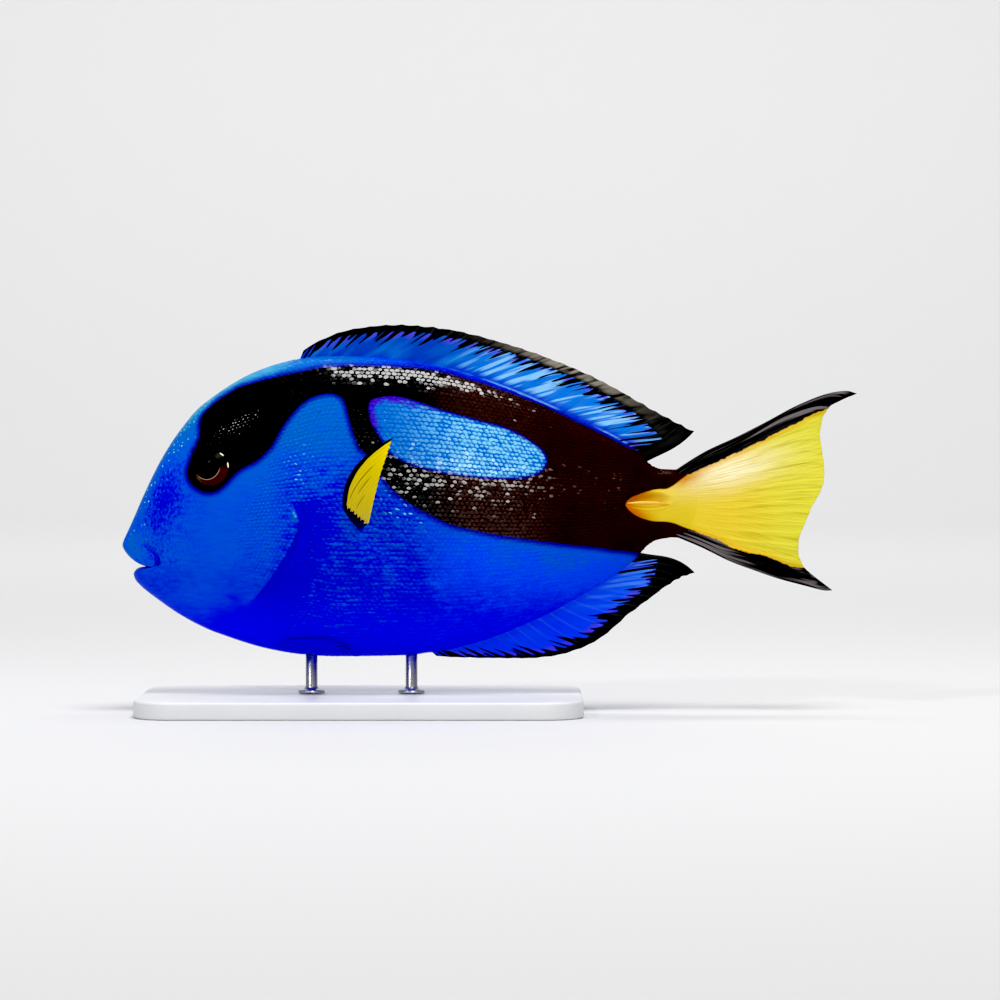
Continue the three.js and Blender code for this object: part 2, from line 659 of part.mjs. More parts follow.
const neckCut = ribbon(NECK_CUT);
const stalkCut = ribbon(STALK_CUT, 10);
const lengths = skin.subtract(neckCut).subtract(stalkCut).decompose().sort((a, b) => middleX(a) - middleX(b));
let head = lengths[0].subtract(prism(LIP_NOTCH)).add(lip(UPPER_LIP)).add(lip(LOWER_LIP));
for (const [name, side] of Object.entries(SIDES)) {
  nodes.set(`gill_cover_${name}`, [largest(gillPlate(side, false).subtract(neckCut)), COLOURS.blue]);
  head = head.subtract(gillPlate(side, true));
  head = head.add(ring(EYE, side, EYE.radius + 0.3, EYE.rim, [5, 18])).subtract(eyeball(side, GAP));
  for (const nostril of NOSTRILS) {
    const rim = ring(nostril, side, nostril.radius + 0.1, 0.35, [4, 8]);
    head = head.add(rim).subtract(nostrilPit(nostril, side));
  }
  nodes.set(`eye_${name}`, [eyeball(side), COLOURS.eye]);
}
const [skull, jaw] = pieces(head.subtract(ribbon(JAW_CUT)));
nodes.set("head", [skull, COLOURS.blue]);
nodes.set("lower_jaw", [jaw, COLOURS.blue]);

const rods = ROD.at.map((x) => rodBar(x));
const rodHoles = ROD.at.map((x) => rodBar(x, GAP));
const trunk = rodHoles.reduce((solid, hole) => solid.subtract(hole), lengths[1]);
nodes.set("trunk", [largest(trunk), COLOURS.blue]);

let stalk = lengths[2];
for (const [name, side] of Object.entries(SIDES)) {
  stalk = stalk.subtract(bladeGroove(side)).subtract(bladeBar(side, GAP));
  nodes.set(`tail_spine_${name}`, [bladeBar(side), COLOURS.yellow]);
}
nodes.set("tail_stalk", [largest(stalk), COLOURS.black]);

nodes.set("dorsal_fin", [largest(medianFin(DORSAL, backAt, 1).subtract(skinClear)), COLOURS.blue]);
nodes.set("anal_fin", [largest(medianFin(ANAL, bellyAt, -1).subtract(skinClear)), COLOURS.blue]);

const webRays = TAIL.rays - 2 * TAIL.lobeRays;
const seam = 0.006;
const tailPieces = {
  tail_fin_upper_lobe: [TAIL.lobeRays, 0, TAIL.lobeShare - seam, COLOURS.black],
  tail_fin_web: [webRays, TAIL.lobeShare + seam, 1 - TAIL.lobeShare - seam, COLOURS.yellow],
  tail_fin_lower_lobe: [TAIL.lobeRays, 1 - TAIL.lobeShare + seam, 1, COLOURS.black],
};
for (const [name, [rays, first, last, colour]] of Object.entries(tailPieces)) {
  nodes.set(name, [largest(tailSheet(rays, first, last).subtract(skinClear)), colour]);
}

for (const [name, side] of Object.entries(SIDES)) {
  nodes.set(`pectoral_fin_${name}`, [largest(pectoralFin(side).subtract(skinClear)), COLOURS.yellow]);
  nodes.set(`pelvic_fin_${name}`, [largest(pelvicFin(side).subtract(skinClear)), COLOURS.blue]);
}

const plate = rodHoles.reduce((solid, hole) => solid.subtract(hole), standPlate());
nodes.set("stand_base", [plate, COLOURS.stand]);
nodes.set("stand_rod_front", [rods[0], COLOURS.steel]);
nodes.set("stand_rod_rear", [rods[1], COLOURS.steel]);

const tang = new THREE.Group();
for (const [name, [solid, colour]] of nodes) {
  const mesh = new THREE.Mesh(geometryOf(solid), new THREE.MeshStandardMaterial(colour));
  mesh.name = name;
  tang.add(mesh);
}
const box = new THREE.Box3().setFromObject(tang, true);
tang.position.set(-(box.min.x + box.max.x) / 2, -(box.min.y + box.max.y) / 2, -box.min.z);

export default tang;
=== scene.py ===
"""A life-size regal blue tang on its display stand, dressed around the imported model.

Sizes of the fish are millimetres in its own frame: x runs back from the tip of the snout, z runs up
from the middle of the tail stalk, and y is 0 on the middle plane, with the left flank towards -y.
`FishFrame` turns them into metres in the shared frame.
"""

import logging
import math
from collections.abc import Callable, Sequence
from dataclasses import dataclass, field
from enum import Enum

import bpy
import numpy as np
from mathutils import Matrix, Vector


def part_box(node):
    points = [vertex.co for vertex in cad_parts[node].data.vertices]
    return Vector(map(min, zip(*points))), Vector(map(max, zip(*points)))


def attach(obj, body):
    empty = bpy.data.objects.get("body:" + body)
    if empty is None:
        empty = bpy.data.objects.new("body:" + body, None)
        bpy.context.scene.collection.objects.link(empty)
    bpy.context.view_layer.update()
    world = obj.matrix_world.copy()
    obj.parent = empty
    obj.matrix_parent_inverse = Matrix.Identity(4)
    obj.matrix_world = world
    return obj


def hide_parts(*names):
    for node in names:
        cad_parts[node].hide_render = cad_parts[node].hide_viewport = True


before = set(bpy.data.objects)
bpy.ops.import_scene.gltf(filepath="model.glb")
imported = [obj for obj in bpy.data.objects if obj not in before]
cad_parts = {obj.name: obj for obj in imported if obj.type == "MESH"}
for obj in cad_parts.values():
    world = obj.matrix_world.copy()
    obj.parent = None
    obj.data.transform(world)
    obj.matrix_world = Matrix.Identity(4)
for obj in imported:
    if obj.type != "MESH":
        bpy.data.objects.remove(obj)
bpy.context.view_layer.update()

LOG = logging.getLogger("regal_tang")
MM = 0.001
ROOT = "root"
BAKE_MAP = "OFBake"

Array = np.ndarray
Fields = dict[str, Array]
Pair = tuple[float, float]
Triple = tuple[float, float, float]
Colour = tuple[float, float, float, float]
Curve = Callable[[Array], Array]
Socket = bpy.types.NodeSocket
Value = Socket | float | str | Triple | Colour


class Side(Enum):
    """The fish's two flanks, as the sign of y."""

    LEFT = -1
    RIGHT = 1

    @property
    def word(self) -> str:
        """The side's name, as piece and node names spell it."""
        return self.name.lower()


def srgb(red: int, green: int, blue: int) -> Colour:
    """Turns a screen colour, 0 to 255 for each channel, into a shader colour."""
    channels = [(value / 255) ** 2.2 for value in (red, green, blue)]
    return (*channels, 1.0)


def through(values: Sequence) -> Curve:
    """Makes a smooth curve through points, over a share from 0 to 1.

    Args:
        values: Numbers, or points of equal length, evenly spaced along the share.

    Returns:
        A function from an array of shares to an array of points, with the point's axes last.
    """
    points = np.asarray(values, float)
    points = points[:, None] if points.ndim == 1 else points
    last = len(points) - 1
    padded = np.vstack([2 * points[0] - points[1], points, 2 * points[-1] - points[-2]])

    def at(share: Array) -> Array:
        """The curve's points at some shares."""
        place = np.clip(np.asarray(share, float), 0, 1) * last
        index = np.minimum(place.astype(int), last - 1)
        t = (place - index)[..., None]
        a, b, c, d = (padded[index + step] for step in range(4))
        return b + 0.5 * t * (c - a + t * (2 * a - 5 * b + 4 * c - d + t * (3 * (b - c) + d - a)))

    return at


def mix(low: Array, high: Array, share: Array) -> Array:
    """Runs from low to high as share runs from 0 to 1."""
    return low + (high - low) * share


def smooth(low: float, high: float, value: Array) -> Array:
    """A soft step from 0 at low to 1 at high."""
    t = np.clip((np.asarray(value, float) - low) / (high - low), 0, 1)
    return t * t * (3 - 2 * t)


def peak(value: Array, width: float) -> Array:
    """A round peak of height 1 at 0, that fades over the width."""
    return np.exp(-((np.asarray(value, float) / width) ** 2))


def crossing(curve: Curve, axis: int, target: Array) -> Array:
    """Finds where a curve reaches given values on an axis along which it only rises.

    Args:
        curve: The curve.
        axis: Which of the point's axes to read.
        target: The values to reach.

    Returns:
        The shares at which the curve has those values.
    """
    shares = np.linspace(0, 1, 801)
    return np.interp(target, curve(shares)[:, axis], shares)


def unit(vectors: Array) -> Array:
    """Scales vectors to length 1."""
    return vectors / np.maximum(np.linalg.norm(vectors, axis=-1, keepdims=True), 1e-12)


@dataclass(frozen=True)
class FishFrame:
    """Places the fish's own frame in the shared one, from the stand's plate.

    Attributes:
        plate_x: The middle of the plate, along the fish.
        plate_top: The level of the plate's top.
    """

    plate_x: float = 81.0
    plate_top: float = -64.9

    def shift(self) -> Array:
        """The fish frame's origin in the shared frame, in metres."""
        low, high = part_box("stand_base")
        return np.array([(low.x + high.x) / 2 - self.plate_x * MM, 0, high.z - self.plate_top * MM])

    def packed(self, node: str) -> tuple[Array, Array]:
        """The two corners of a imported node's box, in fish millimetres."""
        low, high = ((np.array(corner) - self.shift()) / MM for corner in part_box(node))
        return low, high

    def shared(self, points: Array) -> Array:
        """Turns fish millimetres into metres in the shared frame."""
        return np.asarray(points, float) * MM + self.shift()


@dataclass
class Piece:
    """A mesh in the making, in fish millimetres.

    Attributes:
        name: The object's name.
        points: Its vertices.
        faces: Its faces, as vertex numbers.
        fields: Values for each vertex, which its material reads by name.
        bake: Each vertex's place on the unwrap, if it has one of its own.
        crisp: For each vertex whether an edge between two such vertices is a crisp one.
    """

    name: str
    points: Array
    faces: list[list[int]]
    fields: Fields = field(default_factory=dict)
    bake: Array | None = None
    crisp: Array | None = None

    def make(self, material: bpy.types.Material, replaced: Sequence[str]) -> None:
        """Makes the object, dresses it and fixes it to the frame.

        Args:
            material: The finish.
            replaced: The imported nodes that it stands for.
        """
        mesh = bpy.data.meshes.new(self.name)
        mesh.from_pydata(FishFrame().shared(self.points).tolist(), [], self.faces)
        mesh.shade_smooth()
        for name, values in self.fields.items():
            layer = mesh.attributes.new(name, "FLOAT", "POINT")
            layer.data.foreach_set("value", np.ascontiguousarray(values, np.float32).ravel())
        if self.bake is not None:
            layer = mesh.uv_layers.new(name=BAKE_MAP)
            corners = np.empty(len(mesh.loops), np.int32)
            mesh.loops.foreach_get("vertex_index", corners)
            layer.data.foreach_set("uv", self.bake[corners].astype(np.float32).ravel())
        if self.crisp is not None:
            ends = np.empty(len(mesh.edges) * 2, np.int32)
            mesh.edges.foreach_get("vertices", ends)
            layer = mesh.attributes.new("sharp_edge", "BOOLEAN", "EDGE")
            layer.data.foreach_set("value", self.crisp[ends].reshape(-1, 2).all(1))
        mesh.materials.append(material)
        made = add_object(self.name, mesh)
        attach(made, ROOT)
        if replaced:
            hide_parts(*replaced)
        LOG.info("%s: %d faces", self.name, len(mesh.polygons))


def add_object(name: str, data: bpy.types.ID) -> bpy.types.Object:
    """Adds an object that shows a mesh, a light or a camera to the scene."""
    made = bpy.data.objects.new(name, data)
    bpy.context.scene.collection.objects.link(made)
    return made


def grid_faces(rows: int, columns: int, closed: bool = False) -> Array:
    """Faces of a grid of vertices that is numbered row by row.

    Args:
        rows: The number of rows.
        columns: The number of vertices in a row.
        closed: Whether each row's last vertex joins its first.

    Returns:
        Four vertex numbers for each face.
    """
    row = np.arange(rows - 1)[:, None] * columns
    column = np.arange(columns if closed else columns - 1)[None, :]
    following = (column + 1) % columns
    corners = [row + column, row + columns + column, row + columns + following, row + following]
    return np.stack(corners, -1).reshape(-1, 4)


def tube_faces(rows: int, columns: int, flipped: bool = False) -> list[list[int]]:
    """Faces of a tube of rings that closes to a point at each end.

    Args:
        rows: The number of rings.
        columns: The number of vertices in a ring.
        flipped: Whether the faces run the other way round.

    Returns:
        Vertex numbers for each face. The end points come after the last ring.
    """
    count = rows * columns
    last_ring = count - columns
    following = [(k + 1) % columns for k in range(columns)]
    faces = grid_faces(rows, columns, closed=True).tolist()
    faces += [[count, k, after] for k, after in enumerate(following)]
    faces += [[last_ring + k, count + 1, last_ring + after] for k, after in enumerate(following)]
    return [face[::-1] for face in faces] if flipped else faces


def stack_faces(rows: int, columns: int) -> list[list[int]]:
    """Faces of a stack of rings with a flat face at each end.

    Args:
        rows: The number of rings, from the lowest up.
        columns: The number of vertices in a ring.

    Returns:
        Vertex numbers for each face.
    """
    last_ring = (rows - 1) * columns
    faces = grid_faces(rows, columns, closed=True)[:, ::-1].tolist()
    faces.append(list(range(columns))[::-1])
    faces.append(list(range(last_ring, last_ring + columns)))
    return faces


class Outline:
    """A closed smooth curve in the side view, which bounds a marking."""

    def __init__(self, points: Sequence[Pair], steps: int = 10) -> None:
        """Keeps the curve as short straight lengths.

        Args:
            points: Points round the curve, each [x, z].
            steps: Lengths between two points.
        """
        looped = [points[-1], *points, points[0], points[1]]
        last = len(looped) - 1
        shares = (1 + np.arange(len(points) * steps) / steps) / last
        self.points = through(looped)(shares)

    def outside(self, x: Array, z: Array) -> Array:
        """How far places lie outside the curve, in millimetres, and below 0 inside it.

        Args:
            x: Places along the fish.
            z: Their levels.

        Returns:
            The signed distance of each place.
        """
        place = np.stack([np.ravel(x), np.ravel(z)], -1)
        near = np.full(len(place), np.inf)
        inside = np.zeros(len(place), bool)
        for start, end in zip(self.points, np.roll(self.points, -1, axis=0)):
            way = end - start
            along = np.clip((place - start) @ way / (way @ way), 0, 1)
            near = np.minimum(near, ((place - start - along[:, None] * way) ** 2).sum(1))
            if start[1] != end[1]:
                spans = (start[1] > place[:, 1]) != (end[1] > place[:, 1])
                meets = start[0] + (place[:, 1] - start[1]) * way[0] / way[1]
                inside ^= spans & (place[:, 0] < meets)
        return (np.sqrt(near) * np.where(inside, -1, 1)).reshape(np.shape(x))


class Stroke:
    """An open smooth line in the side view, which a fold, rim or groove follows."""

    def __init__(self, points: Sequence[Pair], steps: int = 60) -> None:
        """Keeps the line as short straight lengths.

        Args:
            points: Points along the line, each [x, z].
            steps: Lengths along the whole line.
        """
        self.points = through(points)(np.linspace(0, 1, steps + 1))

    def measure(self, x: Array, z: Array) -> tuple[Array, Array]:
        """Measures places against the line.

        Args:
            x: Places along the fish.
            z: Their levels.

        Returns:
            The signed distance to the left of the line's way, and the share along it.
        """
        place = np.stack([np.ravel(x), np.ravel(z)], -1)
        best = np.full(len(place), np.inf)
        signed = np.zeros(len(place))
        share = np.zeros(len(place))
        count = len(self.points) - 1
        for index in range(count):
            start, end = self.points[index], self.points[index + 1]
            way = end - start
            along = np.clip((place - start) @ way / (way @ way), 0, 1)
            off = place - start - along[:, None] * way
            near = (off**2).sum(1)
            closer = near < best
            best = np.where(closer, near, best)
            turn = off[:, 0] * way[1] - off[:, 1] * way[0]
            signed = np.where(closer, np.sqrt(near) * np.where(turn < 0, 1, -1), signed)
            share = np.where(closer, (index + along) / count, share)
        return signed.reshape(np.shape(x)), share.reshape(np.shape(x))


PALETTE = Outline([
    (27.8, 30.4), (37.7, 38.1), (45.1, 41), (56.6, 43.7), (71.7, 46.3), (90.7, 46.3), (105.9, 44.9),
    (128.1, 38.6), (147.6, 30.8), (161.9, 23.9), (177.4, 17.4), (192, 24), (212, 34), (222, -20), (200, -24),
    (176.9, -18), (173.7, -16.7), (157.4, -14.5), (134.4, -11.7), (116.3, -8.2), (106.3, -4.6),
    (92.9, 4.1), (83.5, 16.4), (80.6, 19.1), (78.3, 25.8), (75.9, 34), (72.4, 36.9), (68.3, 36.9),
    (63.6, 35.2), (58.4, 30.5), (54.2, 24.7), (51.3, 19.4), (46.5, 14.6), (40.7, 11.4), (34.6, 5.4),
    (30.1, 3.8), (25.1, 5.8), (22.5, 9.9), (24, 16), (26.7, 22.1),
])
OVAL = Outline([
    (84.1, 32.8), (85.9, 35.2), (92.9, 36), (99.3, 34.6), (107.5, 32), (119.2, 28.7), (131, 25.2),
    (139.8, 20.4), (143.4, 16.5), (143.8, 13.3), (141.1, 10), (134.6, 8.3), (128.1, 8.3), (116.3, 9.1),
    (104.6, 11.2), (95.8, 14.1), (91.1, 17), (87.6, 22.3), (84.7, 27.5),
])
YELLOW = Outline([
    (170.7, -0.7), (172, 1.4), (174.5, 2.7), (180.2, 4.4), (185.3, 4.9), (191.4, 9.2), (197.2, 11.7),
    (204.9, 15.3), (211.1, 18.2), (219.6, 22.4), (228.1, 26.6), (236.6, 30.9), (252, 34), (262, 5),
    (250, -22), (230.5, -21.8), (225.4, -20.7), (219.6, -18.4), (208.4, -15.6), (202.8, -12.9),
    (194.3, -9.5), (185.8, -6.7), (178.4, -5.8), (173.3, -3.7),
])
GILL_RIM = Stroke([(57.8, 2), (60.4, -5), (60, -9.5), (55.4, -19), (48.2, -29), (41.2, -36)])
CHEEK_FOLD = Stroke([(47.2, 7.8), (43.1, -0.7), (40.7, -14.3), (38.4, -27.9)])
FOREHEAD = Stroke([(2.5, -10), (8, 4), (14, 15), (22, 27)], 20)
LIP_FOLD = Stroke([(7.8, -13.9), (10.1, -16), (11.7, -18.6), (12.6, -21.4)], 20)
JAW_FOLD = Stroke([(12.4, -21.8), (14.8, -23.6), (17.2, -29), (19, -37)], 20)


@dataclass(frozen=True)
class Section:
    """One ring of the body, from its back round its widest place to its belly.

    Attributes:
        back: Top of the ring, [x, z].
        belly: Bottom of the ring, [x, z].
        half: Half of its width.
        side: Its widest place, [x, z]. Without it, that lies on the line from belly to back.
        bends: How much of the rise waits until near the back, and near the belly.
    """

    back: Pair
    belly: Pair
    half: float
    side: Pair | None = None
    bends: Pair = (1.0, 1.0)

    def row(self, widest_level: float) -> list[float]:
        """The section as one row of numbers."""
        share = (widest_level + 1) / 2
        on_line = [mix(self.belly[axis], self.back[axis], share) for axis in (0, 1)]
        return [*self.back, *(self.side or on_line), self.half, *self.belly, *self.bends]


@dataclass(frozen=True)
class Eye:
    """The eye's place and size, and its own build.

    Attributes:
        x: Its middle along the fish.
        z: Its level.
        radius: Of the part that shows.
        ball: Radius of the ball across.
        bulge: Radius of the ball outwards.
        inset: How far the ball's middle lies under the skin.
        pupil: Radius of the pupil.
        lens: How far the clear lens over it stands out.
        iris: Outer radius of the iris.
        gaze: How far forwards and up the pupil lies from the eye's middle.
        glints: Painted highlights on the iris's rim, as [angle up from tail side, half width] in radians.
        rings: Rings of vertices from pole to pole.
        spokes: Vertices in a ring.
    """

    x: float = 31.0
    z: float = 11.9
    radius: float = 6.1
    ball: float = 6.6
    bulge: float = 3.3
    inset: float = 1.3
    pupil: float = 4.3
    lens: float = 0.25
    iris: float = 6.0
    gaze: Pair = (1.0, 0.42)
    glints: tuple[Pair, ...] = ((0.2, 0.2), (0.95, 0.18))
    rings: int = 40
    spokes: int = 96

    def build(self, body: "BodyForm", side: Side, finish: "EyeFinish") -> None:
        """Builds one eyeball, with its pupil and iris in the ball's own surface.

        Args:
            body: The body that it sits in.
            side: The flank.
            finish: Its material.
        """
        centre, normal = body.on_flank(self.x, self.z, side)
        upright = unit(np.array([0, 0, 1.0]) - normal * normal[2])
        across = np.cross(upright, normal)
        turn = np.linspace(0, math.pi, self.rings)[1:-1]
        spin = np.arange(self.spokes) * 2 * math.pi / self.spokes
        radius = self.ball * np.sin(turn)[:, None] * np.ones(self.spokes)
        out = self.bulge * np.cos(turn)[:, None] * np.ones(self.spokes)
        lens = self.lens * (1 - smooth(self.pupil - 0.5, self.pupil, radius)) * (out > 0)
        rim = 0.08 * peak(radius - self.pupil - 0.15, 0.22) * (out > 0)
        out = out + lens + rim
        east, north = radius * np.cos(spin), radius * np.sin(spin)
        tailward = east * np.sign(across[0])
        gaze = np.hypot(tailward + self.gaze[0], north - self.gaze[1])
        angle = np.arctan2(north, tailward)
        # Painted highlights on the iris's rim.
        painted_rim_glints = sum(peak(angle - place, width) for place, width in self.glints)
        glint = painted_rim_glints * peak(radius - self.iris + 0.1, 0.22)
        middle = centre - normal * self.inset
        rings = middle + east[..., None] * across + north[..., None] * upright + out[..., None] * normal
        poles = [middle + normal * (self.bulge + self.lens), middle - normal * self.bulge]
        points = np.vstack([rings.reshape(-1, 3), poles])
        fields = {
            "ring": np.append(gaze.ravel(), [0, self.ball]),
            "rim": np.append(radius.ravel(), [0, self.ball]),
            "north": np.append((north / self.ball).ravel(), [0, 0]),
            "tailward": np.append((tailward / self.ball).ravel(), [0, 0]),
            "glint": np.append((glint * (out > 0)).ravel(), [0, 0]),
        }
        piece = Piece(f"eyeball_{side.word}", points, tube_faces(len(turn), self.spokes), fields)
        piece.make(finish.material(), [f"eye_{side.word}"])


@dataclass(frozen=True)
class TailSpine:
    """The folded blade on each side of the stalk, and the groove that it lies in.

    Attributes:
        hinge: Its rear end, [x, z].
        tip: Its sharp front end, [x, z].
        radii: Half of its height along its length.
        flatten: Its thickness as a share of its height.
        proud: How far its middle stands off the skin.
        groove: Middle of the groove, [x, z].
        groove_size: Half length and half height of the groove.
        groove_depth: How deep the groove is.
    """

    hinge: Pair = (185.4, -0.4)
    tip: Pair = (171.2, 0.0)
    radii: tuple[float, ...] = (0.34, 0.5, 0.5, 0.42, 0.12)
    flatten: float = 0.6
    proud: float = -0.1
    groove: Pair = (178.2, 0.9)
    groove_size: Pair = (8.2, 2.9)
    groove_depth: float = 0.9

    def groove_depth_at(self, x: Array, z: Array) -> Array:
        """How deep the groove is at places in the side view."""
        (middle_x, middle_z), (length, height) = self.groove, self.groove_size
        far = np.hypot((x - middle_x) / length, (z - middle_z) / height)
        return self.groove_depth * (1 - smooth(0.55, 1.0, far)) - 0.15 * peak(far - 1.08, 0.12)

    def build(self, body: "BodyForm", side: Side, finish: "SpineFinish") -> None:
        """Builds one blade, with a sharp ridge along its middle.

        Args:
            body: The body that it lies on.
            side: The flank.
            finish: Its material.
        """
        steps, spokes = 40, 24
        share = np.linspace(0, 1, steps)
        x = mix(self.hinge[0], self.tip[0], share)
        z = mix(self.hinge[1], self.tip[1], share) + 0.35 * np.sin(math.pi * share)
        y = side.value * (body.flank(x, z) + self.proud)
        half = through(self.radii)(share)[:, 0]
        spin = np.arange(spokes) * 2 * math.pi / spokes
        sharpen = np.abs(np.cos(spin)) ** 1.6 * np.sign(np.cos(spin))
        rings = np.stack([
            np.broadcast_to(x[:, None], (steps, spokes)),
            y[:, None] + side.value * half[:, None] * self.flatten * sharpen,
            z[:, None] + half[:, None] * np.sin(spin),
        ], -1)
        ends = np.array([[x[0] + 0.4, y[0], z[0]], [x[-1] - 0.2, y[-1], z[-1]]])
        faces = tube_faces(steps, spokes, flipped=side is Side.LEFT)
        points = np.vstack([rings.reshape(-1, 3), ends])
        fields = {"along": np.append(np.repeat(share, spokes), [0, 1])}
        piece = Piece(f"spine_blade_{side.word}", points, faces, fields)
        piece.make(finish.material(), [f"tail_spine_{side.word}"])


@dataclass
class BodyForm:
    """The fish's body as one surface: rings from inside the mouth back to the tail root.

    Attributes:
        sections: The rings' driving sizes, from the mouth back.
        first_plain: The first of them that lies on one line from belly to back.
        widest_level: Where a ring is widest, from -1 at the belly to 1 at the back.
        keels: How sharp the back and the belly are.
        eye: The eyes.
        spine: The tail spines.
        nostrils: Each [x, z, radius].
        coat_depth: How far the bare skin lies under the scales' tops.
    """

    sections: tuple[Section, ...] = (
        Section((7.4, -20.9), (7.4, -21.5), 2.2, (8.4, -21.3)),
        Section((4.9, -20.3), (5.4, -21.8), 3.8, (8.9, -21.5), (1.5, 1.0)),
        Section((1.3, -17.5), (4.2, -22.6), 4.8, (9.5, -21.6), (1.9, 1.2)),
        Section((-0.3, -14.9), (3.4, -24.1), 5.7, (10.3, -21.6), (1.7, 1.3)),
        Section((-0.1, -13.0), (3.9, -25.9), 6.2, (11.1, -21.3), (1.6, 1.2)),
        Section((0.9, -10.7), (5.0, -27.4), 6.7, (12.2, -20.4), (1.4, 1.1)),
        Section((3.1, -5.9), (7.6, -29.8), 7.7, (13.4, -18.0), (1.15, 1.0)),
        Section((7.8, 4.8), (12.5, -33.5), 8.8, (13.9, -14.3)),
        Section((13.5, 16.0), (18.6, -37.7), 9.9),
        Section((20.2, 26.0), (25.4, -41.5), 12.1),
        Section((27.8, 34.2), (32.9, -44.7), 13.9),
        Section((43.1, 43.9), (48.2, -49.5), 16.2),
        Section((60.1, 49.1), (64.2, -51.9), 17.6),
        Section((78.8, 49.8), (82.2, -52.2), 18.0),
        Section((100.9, 47.8), (102.6, -51.2), 16.9),
        Section((121.3, 42.3), (121.3, -47.1), 14.8),
        Section((141.7, 34.3), (140, -39.8), 11.9),
        Section((160.4, 25.7), (157, -30.9), 8.6),
        Section((173, 18.9), (171.3, -21.7), 6.3),
        Section((180.2, 12.5), (179.1, -13.8), 5.0),
        Section((186.6, 11.5), (185.9, -11.9), 4.0),
        Section((193.2, 12.0), (193.2, -12.3), 1.6),
        Section((198.5, 10.6), (198.5, -10.4), 0.7),
        Section((203.0, 8.0), (203.0, -8.0), 0.25),
    )
    first_plain: int = 8
    widest_level: float = 0.05
    keels: Pair = (1.15, 1.08)
    eye: Eye = field(default_factory=Eye)
    spine: TailSpine = field(default_factory=TailSpine)
    nostrils: tuple[Triple, ...] = ((23.9, 17.6, 0.95), (25.6, 20.4, 0.75))
    coat_depth: float = 0.12

    def __post_init__(self) -> None:
        """Makes the curves through the sections' rows of numbers."""
        self.rows = through([section.row(self.widest_level) for section in self.sections])

    def ring_point(self, share: Array, angle: Array) -> Array:
        """Places points on the plain surface.

        Args:
            share: From 0 inside the mouth to 1 at the tail root.
            angle: Round the ring, from the right flank up over the back.

        Returns:
            The points.
        """
        share, angle = np.broadcast_arrays(share, angle)
        columns = np.moveaxis(self.rows(share), -1, 0)
        back_x, back_z, side_x, side_z, half, belly_x, belly_z, back_bend, belly_bend = columns
        rise = np.sin(angle)
        upper = rise > 0
        lift = np.abs(rise)
        bent = lift ** np.maximum(np.where(upper, back_bend, belly_bend), 0.5)
        x = mix(side_x, np.where(upper, back_x, belly_x), lift)
        z = mix(side_z, np.where(upper, back_z, belly_z), bent)
        keel = np.where(upper, *self.keels)
        y = half * np.sign(np.cos(angle)) * np.abs(np.cos(angle)) ** keel
        return np.stack([x, y, z], -1)

    def chord_share(self, x: Array, z: Array) -> Array:
        """Finds the ring whose belly-to-back line passes through places in the side view."""
        low = np.full(np.shape(x), self.first_plain / (len(self.sections) - 1))
        high = np.ones(np.shape(x))
        for _ in range(36):
            middle = (low + high) / 2
            row = self.rows(middle)
            back_x, back_z, belly_x, belly_z = (row[..., column] for column in (0, 1, 5, 6))
            ahead = (x - belly_x) * (belly_z - back_z) - (z - belly_z) * (belly_x - back_x) > 0
            high = np.where(ahead, middle, high)
            low = np.where(ahead, low, middle)
        return (low + high) / 2

    def flank(self, x: Array, z: Array) -> Array:
        """How far the plain surface stands off the middle plane at places in the side view."""
        row = self.rows(self.chord_share(x, z))
        back_z, half, belly_z = (row[..., column] for column in (1, 4, 6))
        level = 2 * (z - belly_z) / (back_z - belly_z) - 1
        upper = level > self.widest_level
        reach = np.where(upper, 1 - self.widest_level, 1 + self.widest_level)
        rise = np.abs(level - self.widest_level) / reach
        keel = np.where(upper, *self.keels)
        return half * np.clip(1 - rise**2, 0, 1) ** (keel / 2)

    def on_flank(self, x: float, z: float, side: Side) -> tuple[Array, Array]:
        """Finds a place on a flank and the way out of it.

        Args:
            x: The place along the fish.
            z: Its level.
            side: The flank.

        Returns:
            The point and the outward direction.
        """
        step = 0.5
        xs = np.array([x, x + step, x - step, x, x])
        zs = np.array([z, z, z, z + step, z - step])
        here, ahead, behind, above, below = self.flank(xs, zs)
        way = np.array([-(ahead - behind) / (2 * step), side.value, -(above - below) / (2 * step)])
        return np.array([x, side.value * here, z]), unit(way)

    def relief(self, points: Array) -> Array:
        """How far the skin stands off the plain surface: folds, rims, grooves and pits.

        Args:
            points: Points of the plain surface.

        Returns:
            The height at each point.
        """
        x, y, z = np.moveaxis(points, -1, 0)
        height = np.zeros(x.shape)
        behind, along = GILL_RIM.measure(x, z)
        fade = smooth(0, 0.22, along) * (1 - smooth(0.78, 1, along))
        ahead = -behind
        near = fade * (np.abs(behind) < 20)
        height += 0.85 * near * smooth(-0.7, 0.1, ahead) * (1 - smooth(0, 11, ahead))
        height -= 0.75 * near * peak(ahead + 1.9, 1.3)
        fold, along = CHEEK_FOLD.measure(x, z)
        height -= 0.12 * peak(fold, 0.8) * smooth(0, 0.2, along) * (1 - smooth(0.8, 1, along))
        off_middle = smooth(0.5, 2.5, np.abs(y))
        fold, along = LIP_FOLD.measure(x, z)
        height -= 0.75 * off_middle * peak(fold, 0.75) * (1 - smooth(0.9, 1, along) * 0.5)
        fold, along = JAW_FOLD.measure(x, z)
        height -= 0.28 * peak(fold, 0.6) * (1 - smooth(0.3, 1, along))
        from_eye = np.hypot(x - self.eye.x, z - self.eye.z)
        height += 0.4 * peak(from_eye - self.eye.radius - 0.55, 0.6)
        height -= 2.6 * (1 - smooth(self.eye.radius - 1.1, self.eye.radius - 0.1, from_eye))
        for pit_x, pit_z, radius in self.nostrils:
            far = np.hypot(x - pit_x, z - pit_z)
            height += 0.22 * peak(far - radius - 0.2, 0.3) - 0.9 * peak(far, radius * 0.75)
